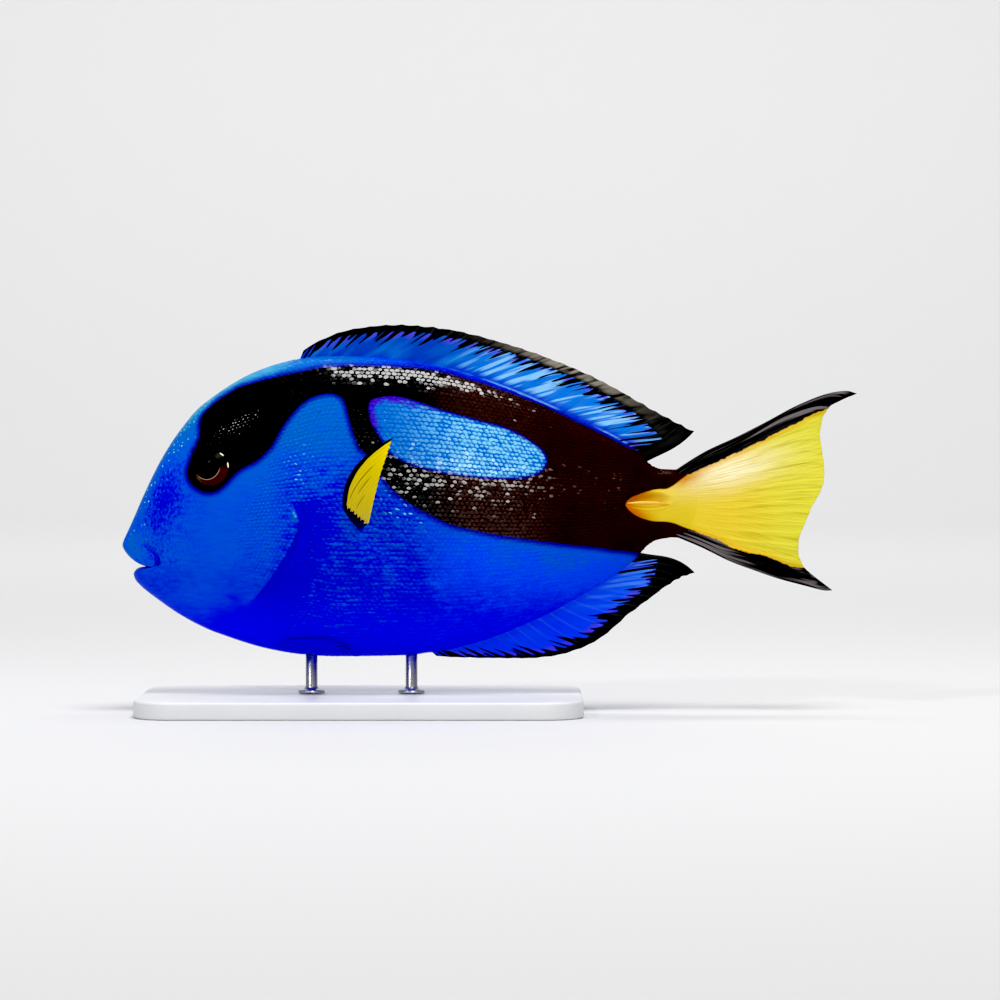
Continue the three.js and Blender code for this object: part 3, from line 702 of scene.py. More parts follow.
        height -= self.spine.groove_depth_at(x, z)
        return height


@dataclass
class Skin:
    """The fish's skin as a fine grid over the body, and what the scales need to know of it.

    Attributes:
        body: The body's form.
        steps: Rings between two sections, for the mouth, the head, the trunk and the stalk.
        sides: Vertices in a ring.
    """

    body: BodyForm
    steps: tuple[int, ...] = (9,) * 8 + (22, 20, 34, 34, 26, 26, 26, 26, 24, 18, 12, 10, 10, 8, 6)
    sides: int = 372

    def __post_init__(self) -> None:
        """Works out the grid's places and the way out at each."""
        count = len(self.body.sections) - 1
        starts = [(index + np.arange(step) / step) / count for index, step in enumerate(self.steps)]
        self.shares = np.append(np.concatenate(starts), 1.0)
        turn = np.arange(self.sides) * 2 * math.pi / self.sides
        self.angles = turn - 0.22 * np.sin(2 * turn)
        plain = self.body.ring_point(self.shares[:, None], self.angles[None, :])
        self.normals = self._normals(plain)
        self.height = self.body.relief(plain)
        self.plain = plain
        self.points = plain + self.normals * (self.height - self.body.coat_depth)[..., None]
        self.surface_normals = self._normals(self.points)

    @staticmethod
    def _normals(points: Array) -> Array:
        """The outward direction at each place of a closed grid."""
        along = np.gradient(points, axis=0)
        round_ring = np.roll(points, -1, axis=1) - np.roll(points, 1, axis=1)
        return unit(np.cross(round_ring, along))

    def build(self, markings: "Markings", finish: "SkinFinish") -> None:
        """Builds the one skin that stands for all the flesh.

        Args:
            markings: The coat's colours by place.
            finish: Its material.
        """
        ends = [self.points[0].mean(0), self.points[-1].mean(0)]
        points = np.vstack([self.points.reshape(-1, 3), ends])
        faces = tube_faces(len(self.shares), self.sides, flipped=True)
        piece = Piece("skin", points, faces, markings.fields(points))
        flesh = ["head", "lower_jaw", "gill_cover_left", "gill_cover_right", "trunk", "tail_stalk"]
        piece.make(finish.material(), flesh)


@dataclass(frozen=True)
class Spot:
    """A soft oval patch in the side view.

    Attributes:
        x: Its middle along the fish.
        z: Its middle's level.
        wide: How far it reaches along the fish, until about a third is left.
        high: How far it reaches up and down.
        strength: Its value at the middle.
    """

    x: float
    z: float
    wide: float
    high: float
    strength: float = 1.0

    def at(self, x: Array, z: Array) -> Array:
        """Its value at places in the side view."""
        return self.strength * peak(np.hypot((x - self.x) / self.wide, (z - self.z) / self.high), 1)


@dataclass(frozen=True)
class TailFan:
    """The fan of the tail's rays, with its orange parts, a painted shade and a painted cream highlight.

    Attributes:
        hub: Where the rays would meet, [x, z].
        stalk: Where the orange of the stalk starts to fade and where it ends, along the fish.
        hollow: The orange round the tail spine, painted as shade in its groove.
        corner: The orange at the tail fin's upper root.
        cream: The pale cream of a painted highlight near the tail's root.
        cream_highlight_slope: How fast the highlight rises towards the rear.
    """

    hub: Pair = (165.0, 1.0)
    stalk: Pair = (174.0, 184.0)
    hollow: Spot = Spot(177.6, 1.6, 6.2, 2.4)
    corner: Spot = Spot(191.0, 8.5, 6.0, 3.5, 0.8)
    # A painted highlight near the tail's root, in pale cream.
    cream: Spot = Spot(206.0, 11.0, 15.0, 5.5)
    cream_highlight_slope: float = 0.25

    def fields(self, x: Array, z: Array) -> Fields:
        """Works out what the tail's yellow reads.

        Args:
            x: Places along the fish.
            z: Their levels.

        Returns:
            The way to each place from the hub and how far out it lies, how orange it is, with the
            painted shade in the spine's groove, and how strong the painted cream highlight is.
        """
        out, up = x - self.hub[0], z - self.hub[1]
        # The stalk's own orange, and painted shade in the groove round the tail spine.
        orange = np.maximum(1 - smooth(*self.stalk, x), self.hollow.at(x, z))
        return {
            "fan": np.arctan2(up, out),
            "out": np.hypot(out, up),
            "apex": np.maximum(orange, self.corner.at(x, z)),
            "cream": self.cream.at(x, z - self.cream_highlight_slope * (x - self.cream.x)),
        }


@dataclass(frozen=True)
class Markings:
    """The fish's colours by place, which the skin, the scales and the fins share.

    Attributes:
        forehead: The duller blue before the eye.
        lips: The paler blue of the lips, which also paints the highlight on them.
        throat: The paler blue of the throat.
        speck_and_glint_patches: Where pale specks lie, besides the forehead's edge; the patch below the
            palette paints glints.
        brow: The violet streaks at the oval's upper front corner.
        fan: The tail's fan.
    """

    forehead: Spot = Spot(13.5, 6.0, 9.0, 18.0, -0.55)
    # The lips' spot is their paler blue and also a painted highlight.
    lips: Spot = Spot(5.0, -14.0, 6.0, 5.0, 0.3)
    throat: Spot = Spot(22.0, -34.0, 14.0, 8.0, 0.14)
    # The patch below the palette paints glints on the blue; the one above the gill cover is pale specks.
    speck_and_glint_patches: tuple[Spot, ...] = (Spot(100.0, 0.0, 12.0, 8.0, 1.3), Spot(61.0, 12.0, 7.0, 9.0, 0.65))
    brow: Spot = Spot(89.0, 34.0, 17.0, 9.0)
    fan: TailFan = TailFan()

    def light(self, points: Array, rows: Array) -> Array:
        """Works out how light the blue is.

        Args:
            points: Places on the fish.
            rows: How near each is to the rows of scales behind the gill cover.

        Returns:
            From 0, the deepest blue, to 2, the palest.
        """
        x, y, z = np.moveaxis(points, -1, 0)
        behind, rim_along = GILL_RIM.measure(x, z)
        flank = 0.58 * smooth(-50, -8, z) + 0.22 * smooth(90, 150, x) * smooth(-46, -18, z)
        nape = 0.3 * smooth(-4, 30, z) * (1 - smooth(70, 110, x))
        # Painted highlight: paler blue along the top of the head's outline, near the middle plane.
        crown = 0.5 * smooth(-12, 2, z) * (1 - smooth(2, 9, np.abs(y))) * (1 - smooth(70, 90, x))
        # Painted highlight on the upper end of the gill cover's rim.
        painted_gill_highlight = 1.3 * peak(behind + 0.7, 0.55) * peak(rim_along - 0.14, 0.045)
        back = 0.35 * smooth(38, 46, z + 0.16 * np.maximum(x - 95, 0)) * smooth(48, 68, x)
        spots = sum(spot.at(x, z) for spot in (self.forehead, self.lips, self.throat))
        return np.clip(flank + nape + crown + painted_gill_highlight + spots - back - 0.36 * rows, 0, 2)

    def shade(self, x: Array, z: Array) -> Array:
        """How deep in shade places in the side view lie, behind the gill cover and in the lip's fold."""
        behind, along = GILL_RIM.measure(x, z)
        fade = smooth(0, 0.12, along) * (1 - smooth(0.75, 1, along))
        gill = fade * smooth(-0.5, 0.4, behind) * (1 - smooth(2, 17, behind))
        fold, along = LIP_FOLD.measure(x, z)
        return np.maximum(gill, 0.9 * peak(fold, 1.1) * (1 - smooth(0.9, 1, along)))

    def freckles(self, x: Array, z: Array) -> Array:
        """How strong the pale specks are at places in the side view, with painted glints below the palette.
        """
        edge = peak(FOREHEAD.measure(x, z)[0] / 6.5, 1) * (1 - smooth(22, 30, z))
        return np.maximum.reduce([edge, *(spot.at(x, z) for spot in self.speck_and_glint_patches)])

    def fields(self, points: Array) -> Fields:
        """Works out what the materials read.

        Args:
            points: Places on the fish.

        Returns:
            By name: the signed distances to the black palette, to the blue oval and to the tail's
            yellow, the blue's light and shade, how near each place is to the palette's front, the
            oval's upper front corner, the snout, the pale specks and painted glints, the belly and the
            rows behind the gill cover, how much the scales' gloss shows, and the tail's fan.
        """
        x, _, z = np.moveaxis(points, -1, 0)
        rows = smooth(48, 60, x) * (1 - smooth(92, 114, x)) * smooth(-48, -34, z) * (1 - smooth(12, 22, z))
        return {
            "palette": PALETTE.outside(x, z),
            "oval": OVAL.outside(x, z),
            "yellow": YELLOW.outside(x, z),
            "light": self.light(points, rows),
            "shade": self.shade(x, z),
            "front": 1 - smooth(86, 122, x),
            "brow": self.brow.at(x, z),
            "snout": (1 - smooth(16, 34, x - 0.2 * z)) * mix(0.25, 1, smooth(-26, -18, z)),
            "freckles": self.freckles(x, z),
            "belly": 1 - smooth(-44, -24, z),
            "rows": rows,
            "gloss": mix(0.3, 1, smooth(44, 74, x)) * mix(1, 0.12, smooth(128, 152, x)),
            **self.fan.fields(x, z),
        }


@dataclass(frozen=True)
class ScaleCoat:
    """The scales of one flank, in rows that run from head to tail and overlap like tiles.

    Attributes:
        pitch: From scale to scale along a row, on the widest part.
        row_pitch: From row to row there.
        reach: How far a scale reaches to the rear and to the front, as shares of the pitch.
        half_width: Half of its width, as a share of the row pitch.
        height: How far a scale's crown stands over the skin.
        root_depth: How far its root lies under the skin.
        tilt: How much scales differ in the way that they face, as a slope.
        turn: How much they differ in the way that they point, in radians.
        size_spread: How much they differ in size.
        height_spread: How much they differ in height.
        drift: How far they stray along and across their row.
        corners: Corners of a scale's rim.
        top: How far the flat top reaches, along and across, as shares of the way to the rim.
        top_level: The height of the top's edge, as a share of the crown's.
        ragged: How uneven the rims are.
        raised: Where the scales stand out most on the blue flank.
        parting: Where along the fish a flank's scales are parted into a front and a rear mesh.
        seed: For the small differences between scales.
    """

    pitch: float = 1.75
    row_pitch: float = 1.5
    reach: Pair = (0.66, 0.5)
    half_width: float = 0.54
    height: float = 0.15
    root_depth: float = 0.3
    tilt: float = 0.045
    turn: float = 0.2
    size_spread: float = 0.1
    height_spread: float = 0.2
    drift: Pair = (0.13, 0.07)
    corners: int = 7
    top: Pair = (0.86, 0.66)
    top_level: float = 0.94
    ragged: float = 0.11
    raised: Spot = Spot(74.0, -12.0, 28.0, 20.0, 0.4)
    parting: float = 92.0
    seed: int = 7

    def roots(self, skin: Skin, side: Side) -> Fields:
        """Lays the scales out on a flank.

        Args:
            skin: The skin that they grow from.
            side: The flank.

        Returns:
            For each scale its grid place, its size and its place on the unwrap.
        """
        half_turn = skin.sides // 2
        order = np.arange(half_turn + 1)
        right = (order - half_turn // 2) % skin.sides
        columns = right if side is Side.RIGHT else (half_turn - right) % skin.sides
        strip = skin.plain[:, columns]
        girth = np.concatenate([
            np.zeros((len(strip), 1)), np.cumsum(np.linalg.norm(np.diff(strip, axis=1), axis=2), 1),
        ], 1)
        middle = len(order) // 2
        girth -= girth[:, middle : middle + 1]
        spread = girth[:, -1] - girth[:, 0]
        line = strip[:, middle]
        along = np.append(0, np.cumsum(np.linalg.norm(np.diff(line, axis=0), axis=1)))
        finer = np.sqrt(spread / spread.max()) * mix(0.8, 1.0, smooth(40, 75, line[:, 0]))
        count_line = np.append(0, np.cumsum(np.diff(along) / (self.pitch * finer[1:])))
        found = []
        for number in np.arange(0.5, count_line[-1], 0.5):
            share = np.interp(number, count_line, np.arange(len(along)))
            row = int(share)
            part = share - row
            levels = mix(girth[row], girth[min(row + 1, len(girth) - 1)], part)
            size = np.interp(share, np.arange(len(along)), finer)
            odd = int(round(number * 2)) % 2
            first = math.ceil(levels[0] / (self.row_pitch * size))
            last = math.floor(levels[-1] / (self.row_pitch * size))
            numbers = np.arange(first, last + 1)
            numbers = numbers[numbers % 2 == odd]
            spots = numbers * self.row_pitch * size
            place = np.interp(spots, levels, order)
            there = np.interp(share, np.arange(len(along)), along)
            found.append(np.stack([
                np.full(len(spots), share), place, np.full(len(spots), size),
                np.full(len(spots), there / along[-1]), spots / spread.max(),
            ], -1))
        table = np.vstack(found)
        row, column, size = table[:, :3].T
        return {"row": row, "column": column, "size": size, "unwrap": table[:, 3:], "order": columns}

    def sample(self, values: Array, roots: Fields) -> Array:
        """Reads the skin's grid between its vertices, at the scales' roots."""
        row = np.minimum(roots["row"].astype(int), len(values) - 2)
        column = np.minimum(roots["column"].astype(int), len(roots["order"]) - 2)
        down = (roots["row"] - row)[:, None]
        across = (roots["column"] - column)[:, None]
        left, right = roots["order"][column], roots["order"][column + 1]
        upper = mix(values[row, left], values[row, right], across)
        lower = mix(values[row + 1, left], values[row + 1, right], across)
        return mix(upper, lower, down)

    def prominence(self, points: Array) -> Array:
        """How much the scales stand out: least on the snout and at the tail, and most on the black."""
        x, _, z = np.moveaxis(points, -1, 0)
        head = 0.12 * smooth(12, 30, x + 0.2 * z) + 0.13 * smooth(42, 60, x)
        black = (1 - smooth(-1, 2, PALETTE.outside(x, z))) * mix(0.13, 0.6, smooth(50, 82, x))
        return (head + self.raised.at(x, z) + black) * (1 - smooth(176, 190, x))

    def grows(self, body: BodyForm, points: Array) -> Array:
        """Whether a scale grows at each place: not on the lips, eyes, nostrils, folds or grooves."""
        x, _, z = np.moveaxis(points, -1, 0)
        bare = np.hypot(x - body.eye.x, z - body.eye.z) < body.eye.radius + 1.5
        for pit_x, pit_z, radius in body.nostrils:
            bare |= np.hypot(x - pit_x, z - pit_z) < radius + 0.8
        behind, along = GILL_RIM.measure(x, z)
        bare |= (behind > -0.5) & (behind < 1.4) & (along > 0.08) & (along < 0.92)
        bare |= body.spine.groove_depth_at(x, z) > 0.12
        bare |= YELLOW.outside(x, z) < 0.3
        bare |= x + 0.2 * z < 12
        bare |= x > 190
        return ~bare

    def build(self, skin: Skin, side: Side, markings: Markings, finish: "SkinFinish") -> None:
        """Builds all the scales of a flank, as a front and a rear mesh.

        Args:
            skin: The skin that they grow from.
            side: The flank.
            markings: The coat's colours by place.
            finish: Their material.
        """
        draw = np.random.default_rng(self.seed + side.value)
        roots = self.roots(skin, side)
        centre = self.sample(skin.points, roots)
        kept = self.grows(skin.body, centre)
        for key in ("row", "column", "size", "unwrap"):
            roots[key] = roots[key][kept]
        centre = centre[kept]
        scales = len(centre)
        normal = unit(self.sample(skin.surface_normals, roots))
        tail_way = unit(self.sample(np.gradient(skin.points, axis=0), roots))
        tail_way = unit(tail_way - normal * (tail_way * normal).sum(1, keepdims=True))
        across = np.cross(normal, tail_way)
        turn = draw.normal(0, self.turn, (scales, 1))
        tail_way, across = (
            tail_way * np.cos(turn) + across * np.sin(turn),
            across * np.cos(turn) - tail_way * np.sin(turn),
        )
        size = roots["size"] * draw.normal(1, self.size_spread, scales)
        stands = self.prominence(centre)
        crown = self.height * mix(0.25, 1, stands) * draw.normal(1, self.height_spread, scales)
        for way, drift in zip((tail_way, across), self.drift):
            centre = centre + draw.normal(0, drift, (scales, 1)) * way
        turns = (np.arange(self.corners) + draw.uniform(0, 1, (scales, 1))) * 2 * math.pi / self.corners
        reach = draw.normal(1, self.ragged, turns.shape)
        rear, aside = np.cos(turns), np.sin(turns)
        forward = reach * rear * np.where(rear > 0, *self.reach) * self.pitch
        sideways = reach * aside * self.half_width * self.row_pitch
        lift = mix(-0.08, 0.03, (1 + rear) / 2)
        middle = 0.1 * self.pitch
        fine = mix(0.45, 1, smooth(40, 72, centre[:, :1]))
        wide = self.top[1] * fine * mix(1, 1.3, smooth(32, 40, centre[:, 2:]))
        hub = np.tile([[middle, 0.0]], (scales, 1))
        local = np.stack([
            np.hstack([forward, mix(middle, forward, self.top[0] * fine), hub]),
            np.hstack([sideways, sideways * wide, 0 * hub]),
        ], -1)
        count, ring = local.shape[1], self.corners
        heights = np.zeros((scales, count))
        heights[:, :ring] = lift
        heights[:, ring : 2 * ring] = mix(lift, crown[:, None], self.top_level)
        heights[:, -2] = crown
        heights[:, -1] = -self.root_depth
        tilt = draw.normal(0, self.tilt, (2, scales, 1)) * stands[:, None]
        heights += tilt[0] * local[..., 0] + tilt[1] * local[..., 1]
        heights -= 0.13 * (1 - smooth(0, 0.3, stands))[:, None]
        points = (
            centre[:, None]
            + tail_way[:, None] * (local[..., 0] * size[:, None])[..., None]
            + across[:, None] * (local[..., 1] * size[:, None])[..., None]
            + normal[:, None] * heights[..., None]
        )
        following = (np.arange(self.corners) + 1) % self.corners
        pattern = []
        for k, after in enumerate(following):
            top = [count - 2, ring + k, ring + after]
            pattern += [top, [ring + k, k, after], [ring + k, after, ring + after], [count - 1, after, k]]
        points = points.reshape(-1, 3)
        fields = markings.fields(points)
        fields["tint"] = np.repeat(draw.uniform(-1, 1, scales), count)
        half = 0.25 if side is Side.LEFT else 0.75
        spot = roots["unwrap"] * (0.44, 0.94) + (half - 0.22, 0.5)
        patch = 0.0015 * local / np.abs(local).max()
        bake = (spot[:, None] + patch).reshape(-1, 2)
        number = np.tile(np.arange(count), scales)
        crisp = (number >= ring) & (number < 2 * ring)
        # Painted relief shading, read as the crown field: each scale's flat top lighter on its upper rear
        # side, darker on its lower front.
        painted_relief_light = np.zeros((scales, count))
        painted_relief_light[:, ring : 2 * ring] = 0.5 + 0.3 * rear - 0.4 * side.value * aside
        painted_relief_light[:, -2] = 0.5
        fields["crown"] = painted_relief_light.ravel()
        in_front = centre[:, 0] < self.parting
        for word, chosen in (("front", in_front), ("rear", ~in_front)):
            picked = np.repeat(chosen, count)
            starts = np.arange(chosen.sum()) * count
            faces = (starts[:, None, None] + np.array(pattern)[None]).reshape(-1, 3).tolist()
            part = {name: values[picked] for name, values in fields.items()}
            name = f"scales_{word}_{side.word}"
            piece = Piece(name, points[picked], faces, part, bake[picked], crisp[picked])
            piece.make(finish.material(), [])


@dataclass
class Fin:
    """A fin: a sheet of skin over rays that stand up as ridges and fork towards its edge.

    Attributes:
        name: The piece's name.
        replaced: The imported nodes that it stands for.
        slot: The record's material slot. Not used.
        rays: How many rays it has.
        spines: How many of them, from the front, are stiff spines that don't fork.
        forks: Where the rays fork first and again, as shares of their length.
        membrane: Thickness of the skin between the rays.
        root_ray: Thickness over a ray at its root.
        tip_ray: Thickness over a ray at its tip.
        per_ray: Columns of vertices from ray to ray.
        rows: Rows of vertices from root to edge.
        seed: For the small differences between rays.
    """

    name: str
    replaced: tuple[str, ...]
    slot: str
    rays: int
    spines: int = 0
    forks: Pair = (0.4, 0.72)
    membrane: float = 0.5
    root_ray: float = 0.62
    tip_ray: float = 0.42
    per_ray: int = 10
    rows: int = 46
    seed: int = 3

    def surface(self, u: Array, v: Array) -> Array:
        """The middle of the sheet, with u from the first ray to the last and v from root to edge."""
        raise NotImplementedError

    def fields(self, u: Array, v: Array) -> Fields:
        """What the fin's material reads."""
        raise NotImplementedError

    def ridge(self, u: Array, v: Array) -> Array:
        """How much of a ray stands at each place, from 0 on the skin to 1 on a ray's crest."""
        phase = u * (self.rays - 1)
        nearest = np.round(phase)
        off = phase - nearest
        soft = nearest >= self.spines
        first = np.where(soft, 0.15 * smooth(self.forks[0], 1, v), 0)
        second = np.where(soft, 0.075 * smooth(self.forks[1], 1, v), 0)
        width = np.where(soft, mix(0.19, 0.07, v), mix(0.2, 0.12, v))
        crest = np.zeros(off.shape)
        for one in (-1, 1):
            for two in (-1, 1):
                crest = np.maximum(crest, peak(off - one * first - two * second, width))
        return crest

    def reach(self, u: Array) -> Array:
        """How far the sheet reaches along each column, as it hangs back between the rays."""
        phase = u * (self.rays - 1)
        off = np.abs(phase - np.round(phase)) * 2
        notch = np.where(np.round(phase) < self.spines, 0.02, 0.01)
        draw = np.random.default_rng(self.seed)
        fray = through(draw.uniform(0, 0.012, self.rays * 2))(u)[..., 0]
        return 1 - notch * np.sin(off * math.pi / 2) - fray

    def thickness(self, u: Array, v: Array, ridge: Array) -> Array:
        """The sheet's thickness."""
        ray = mix(self.root_ray, self.tip_ray, v**0.8) - self.membrane * 0.6
        return mix(self.membrane, 0.28, v**2) + ridge * np.maximum(ray, 0.12)

    def build(self, finish: "Finish") -> None:
        """Builds the fin as one closed sheet.

        Args:
            finish: Its material.
        """
        columns = (self.rays - 1) * self.per_ray + 1
        u = np.repeat(np.linspace(0, 1, columns)[:, None], self.rows, 1)
        v = np.linspace(0, 1, self.rows)[None] * self.reach(u)
        middle = self.surface(u, v)
        normal = unit(np.cross(np.gradient(middle, axis=1), np.gradient(middle, axis=0)))
        ridge = self.ridge(u, v)
        edge_u = np.minimum(u, 1 - u) * (self.rays - 1)
        rounding = mix(0.35, 1, smooth(0, 0.3, edge_u))
        half = self.thickness(u, v, ridge)[..., None] * rounding[..., None] / 2
        layers = [(middle + normal * half).reshape(-1, 3), (middle - normal * half).reshape(-1, 3)]
        count = columns * self.rows
        one = grid_faces(columns, self.rows)
        number = np.arange(count).reshape(columns, self.rows)
        border = np.concatenate([
            number[:, 0], number[-1, 1:], number[-2::-1, -1], number[0, -2:0:-1],
        ])
        after = np.roll(border, -1)
        wall = np.stack([border, after, after + count, border + count], -1)
        faces = np.concatenate([one[:, ::-1], one + count, wall]).tolist()
        values = self.fields(u, v)
        values["crest"] = ridge
        fields = {name: np.tile(value.ravel(), 2) for name, value in values.items()}
        piece = Piece(self.name, np.vstack(layers), faces, fields)
        piece.make(finish.material(), self.replaced)

    def ray_values(self, u: Array, low: float, high: float, salt: int = 0) -> Array:
        """A number for each ray, drawn between low and high, read at the nearest ray."""
        draw = np.random.default_rng(self.seed + salt)
        values = draw.uniform(low, high, self.rays)
        return values[np.round(u * (self.rays - 1)).astype(int)]


@dataclass
class MedianFin(Fin):
    """The dorsal or the anal fin, on the middle plane.

    Attributes:
        up: 1 for the dorsal fin and -1 for the anal fin.
        base: Where the first and the last ray leave the body, along the fish.
        lean: How far the tips of the rays lie behind their roots, from front to rear.
        edge: The outer edge, each [x, z].
        bow: How far the last ray bends towards the stalk.
        curl: How far the edge curls away from the left side.
        root_depth: How deep the roots lie in the body.
        body: The body that it grows from.
        margin: Width of the black outer edge, from front to rear.
        end_margin: Width of the black rear edge.
        slant: How much further forward than the rays the strokes run, inwards from the edge.
        rear: Where the pale strokes begin and where they are full, as shares of the fin's length.
        sheen: How strongly the middle of the black edge shines grey.
    """

    up: int = 1
    base: Pair = (58.7, 176.0)
    lean: tuple[float, ...] = ()
    edge: tuple[Pair, ...] = ()
    bow: float = 1.4
    curl: float = 0.0
    root_depth: float = 3.5
    body: BodyForm | None = None
    margin: tuple[float, ...] = (0.6, 2.7, 2.9, 2.9, 3.1, 3.4, 3.8, 4.6, 9)
    end_margin: float = 2.2
    slant: float = 0.45
    rear: Pair = (0.34, 0.55)
    sheen: float = 1.0

    def surface(self, u: Array, v: Array) -> Array:
        """The middle of the sheet."""
        column, far_column = (0, 1) if self.up > 0 else (5, 6)
        shares = np.linspace(0, 1, 801)
        rows = self.body.rows(shares)
        root_x = mix(self.base[0], self.base[1], u)
        root_z = np.interp(root_x, rows[:, column], rows[:, far_column]) - self.up * self.root_depth
        edge = through(self.edge)
        tip = edge(crossing(edge, 0, root_x + through(self.lean)(u)[..., 0]))
        bow = 6.75 * self.bow * u**6 * v * v * (1 - v)
        sway = 0.5 * v * np.sin(9 * u) + self.curl * v * v * smooth(0.15, 0.6, u) * (1 - smooth(0.75, 1, u))
        return np.stack([mix(root_x, tip[..., 0], v), sway, mix(root_z, tip[..., 1], v) - self.up * bow], -1)

    def fields(self, u: Array, v: Array) -> Fields:
        """Places in millimetres, across the rays and in from the black edge, and where the rear begins."""
        root = self.surface(u, np.zeros_like(u))
        tip = self.surface(u, np.ones_like(u))
        length = np.linalg.norm(tip - root, axis=-1)
        off_edge = (1 - v) * length
        from_edge = off_edge - through(self.margin)(u)[..., 0]
        from_end = 0.5 * (1 - u) * (self.base[1] - self.base[0]) - self.end_margin
        return {
            "across": u * (self.base[1] - self.base[0]) + self.slant * off_edge,
            "inward": np.minimum(from_edge, from_end),
            "rise": v * length - self.root_depth,
            "rear": smooth(*self.rear, u),
            "sheen": self.sheen * peak(u - 0.66, 0.16),
        }


@dataclass
class TailFin(Fin):
    """The tail fin, a patch between its four edges.

    Attributes:
        top: The upper leading edge, each [x, z].
        bottom: The lower leading edge.
        trailing: The rear edge, from the upper tip to the lower one.
        sway: How far it bows to each side.
        root_thickness: Its thickness at the stalk.
        fan: The tail's fan, which its yellow follows.
    """

    top: tuple[Pair, ...] = (
        (186.5, 10.4), (197.5, 17.3), (208.4, 22.4), (218.5, 27.5), (228.8, 33), (238.5, 36.9),
        (245.5, 38.1), (249.6, 37.2),
    )
    bottom: tuple[Pair, ...] = (
        (186.5, -10.9), (196.5, -15.1), (206, -19.7), (214.5, -22.9), (223, -25.8), (232, -28.2),
        (238, -29.7), (241.3, -29.7),
    )
    trailing: tuple[Pair, ...] = (
        (249.6, 37.2), (240, 32.2), (237.1, 24.5), (237.8, 17.5), (238.6, 10.8), (237.6, 4.9),
        (234.4, -0.8), (231.9, -6.6), (229.6, -13.2), (231.2, -21.2), (241.3, -29.7),
    )
    sway: float = 1.8
    root_thickness: float = 3.8
    fan: TailFan = TailFan()

    def surface(self, u: Array, v: Array) -> Array:
        """The middle of the sheet."""
        top, bottom, edge = through(self.top)(v), through(self.bottom)(v), through(self.trailing)(u)
        down, out = u[..., None], v[..., None]
        root, tips = (mix(np.array(self.top[end]), np.array(self.bottom[end]), down) for end in (0, -1))
        place = mix(top, bottom, down) + mix(root, edge, out) - mix(root, tips, out)
        sway = self.sway * v**1.5 * np.sin(2 * math.pi * (0.7 * u + 0.25))
        return np.stack([place[..., 0], sway, place[..., 1]], -1)

    def thickness(self, u: Array, v: Array, ridge: Array) -> Array:
        """The sheet's thickness, which fades from the stalk outwards."""
        lobe = np.maximum(1 - smooth(0.1, 0.2, u), smooth(0.8, 0.9, u))
        stands = mix(self.ray_values(u, 0.05, 0.35, 1), 0.5, lobe)
        return mix(self.root_thickness - 1, 0.45, v**0.55) + ridge * stands * smooth(0.12, 0.6, v)

    def fields(self, u: Array, v: Array) -> Fields:
        """The yellow marking, and where each place lies in the fan."""
        x, _, z = np.moveaxis(self.surface(u, v), -1, 0)
        return {"yellow": YELLOW.outside(x, z), "u": u, "v": v, **self.fan.fields(x, z)}


@dataclass
class PectoralFin(Fin):
    """A pectoral fin: a fan whose rays bend outwards and up.

    Attributes:
        side: The flank.
        root: The first, middle and last ray's root, each [x, out, z].
        bend: The place that each bends towards.
        tip: The tip of each.
        pleats: Dark folds, each [its place from the first ray to the last, its start, its end].
        base_from: Where the black root's edge crosses the level of the fish's middle.
        base_slope: How fast that edge falls towards the tail.
    """

    side: Side = Side.LEFT
    root: tuple[Triple, ...] = ((75.6, 15, -3.4), (77.9, 15, -6.8), (80.6, 15, -9))
    bend: tuple[Triple, ...] = ((73.6, 33, 12.5), (80.6, 32.5, 1.2), (82.6, 26, -7.6))
    tip: tuple[Triple, ...] = ((93.2, 44.6, 22.6), (88.6, 43.4, 9.6), (84.4, 33, -6))
    pleats: tuple[Triple, ...] = ((0.24, 0.3, 0.9), (0.36, 0.5, 0.85), (0.5, 0.35, 0.7))
    base_from: float = 76.1
    base_slope: float = 0.8

    def surface(self, u: Array, v: Array) -> Array:
        """The middle of the sheet."""
        root, bend, tip = (through(points)(u) for points in (self.root, self.bend, self.tip))
        t = v[..., None]
        place = (1 - t) ** 2 * root + 2 * t * (1 - t) * bend + t * t * tip
        return place * np.array([1, self.side.value, 1])

    def fields(self, u: Array, v: Array) -> Fields:
        """The black leading edge and root, and the folds between them."""
        points, first = self.surface(u, v), self.surface(np.zeros_like(u), v)
        x, _, z = np.moveaxis(points, -1, 0)
        edge = 1 - smooth(-0.25, 0.25, np.linalg.norm(points - first, axis=-1) - mix(3.4, 1.0, v))
        ragged = 0.5 * np.sin(u * 44) + 0.4 * np.sin(u * 97)
        base = 1 - smooth(-0.3, 0.3, z + self.base_slope * (x - self.base_from) - ragged)
        pleat = np.zeros(u.shape)
        for place, start, end in self.pleats:
            window = smooth(start - 0.05, start + 0.05, v) * (1 - smooth(end - 0.15, end, v))
            pleat = np.maximum(pleat, peak(u - place, 0.014) * window)
        return {"dark": np.maximum(edge, base), "pleat": pleat}


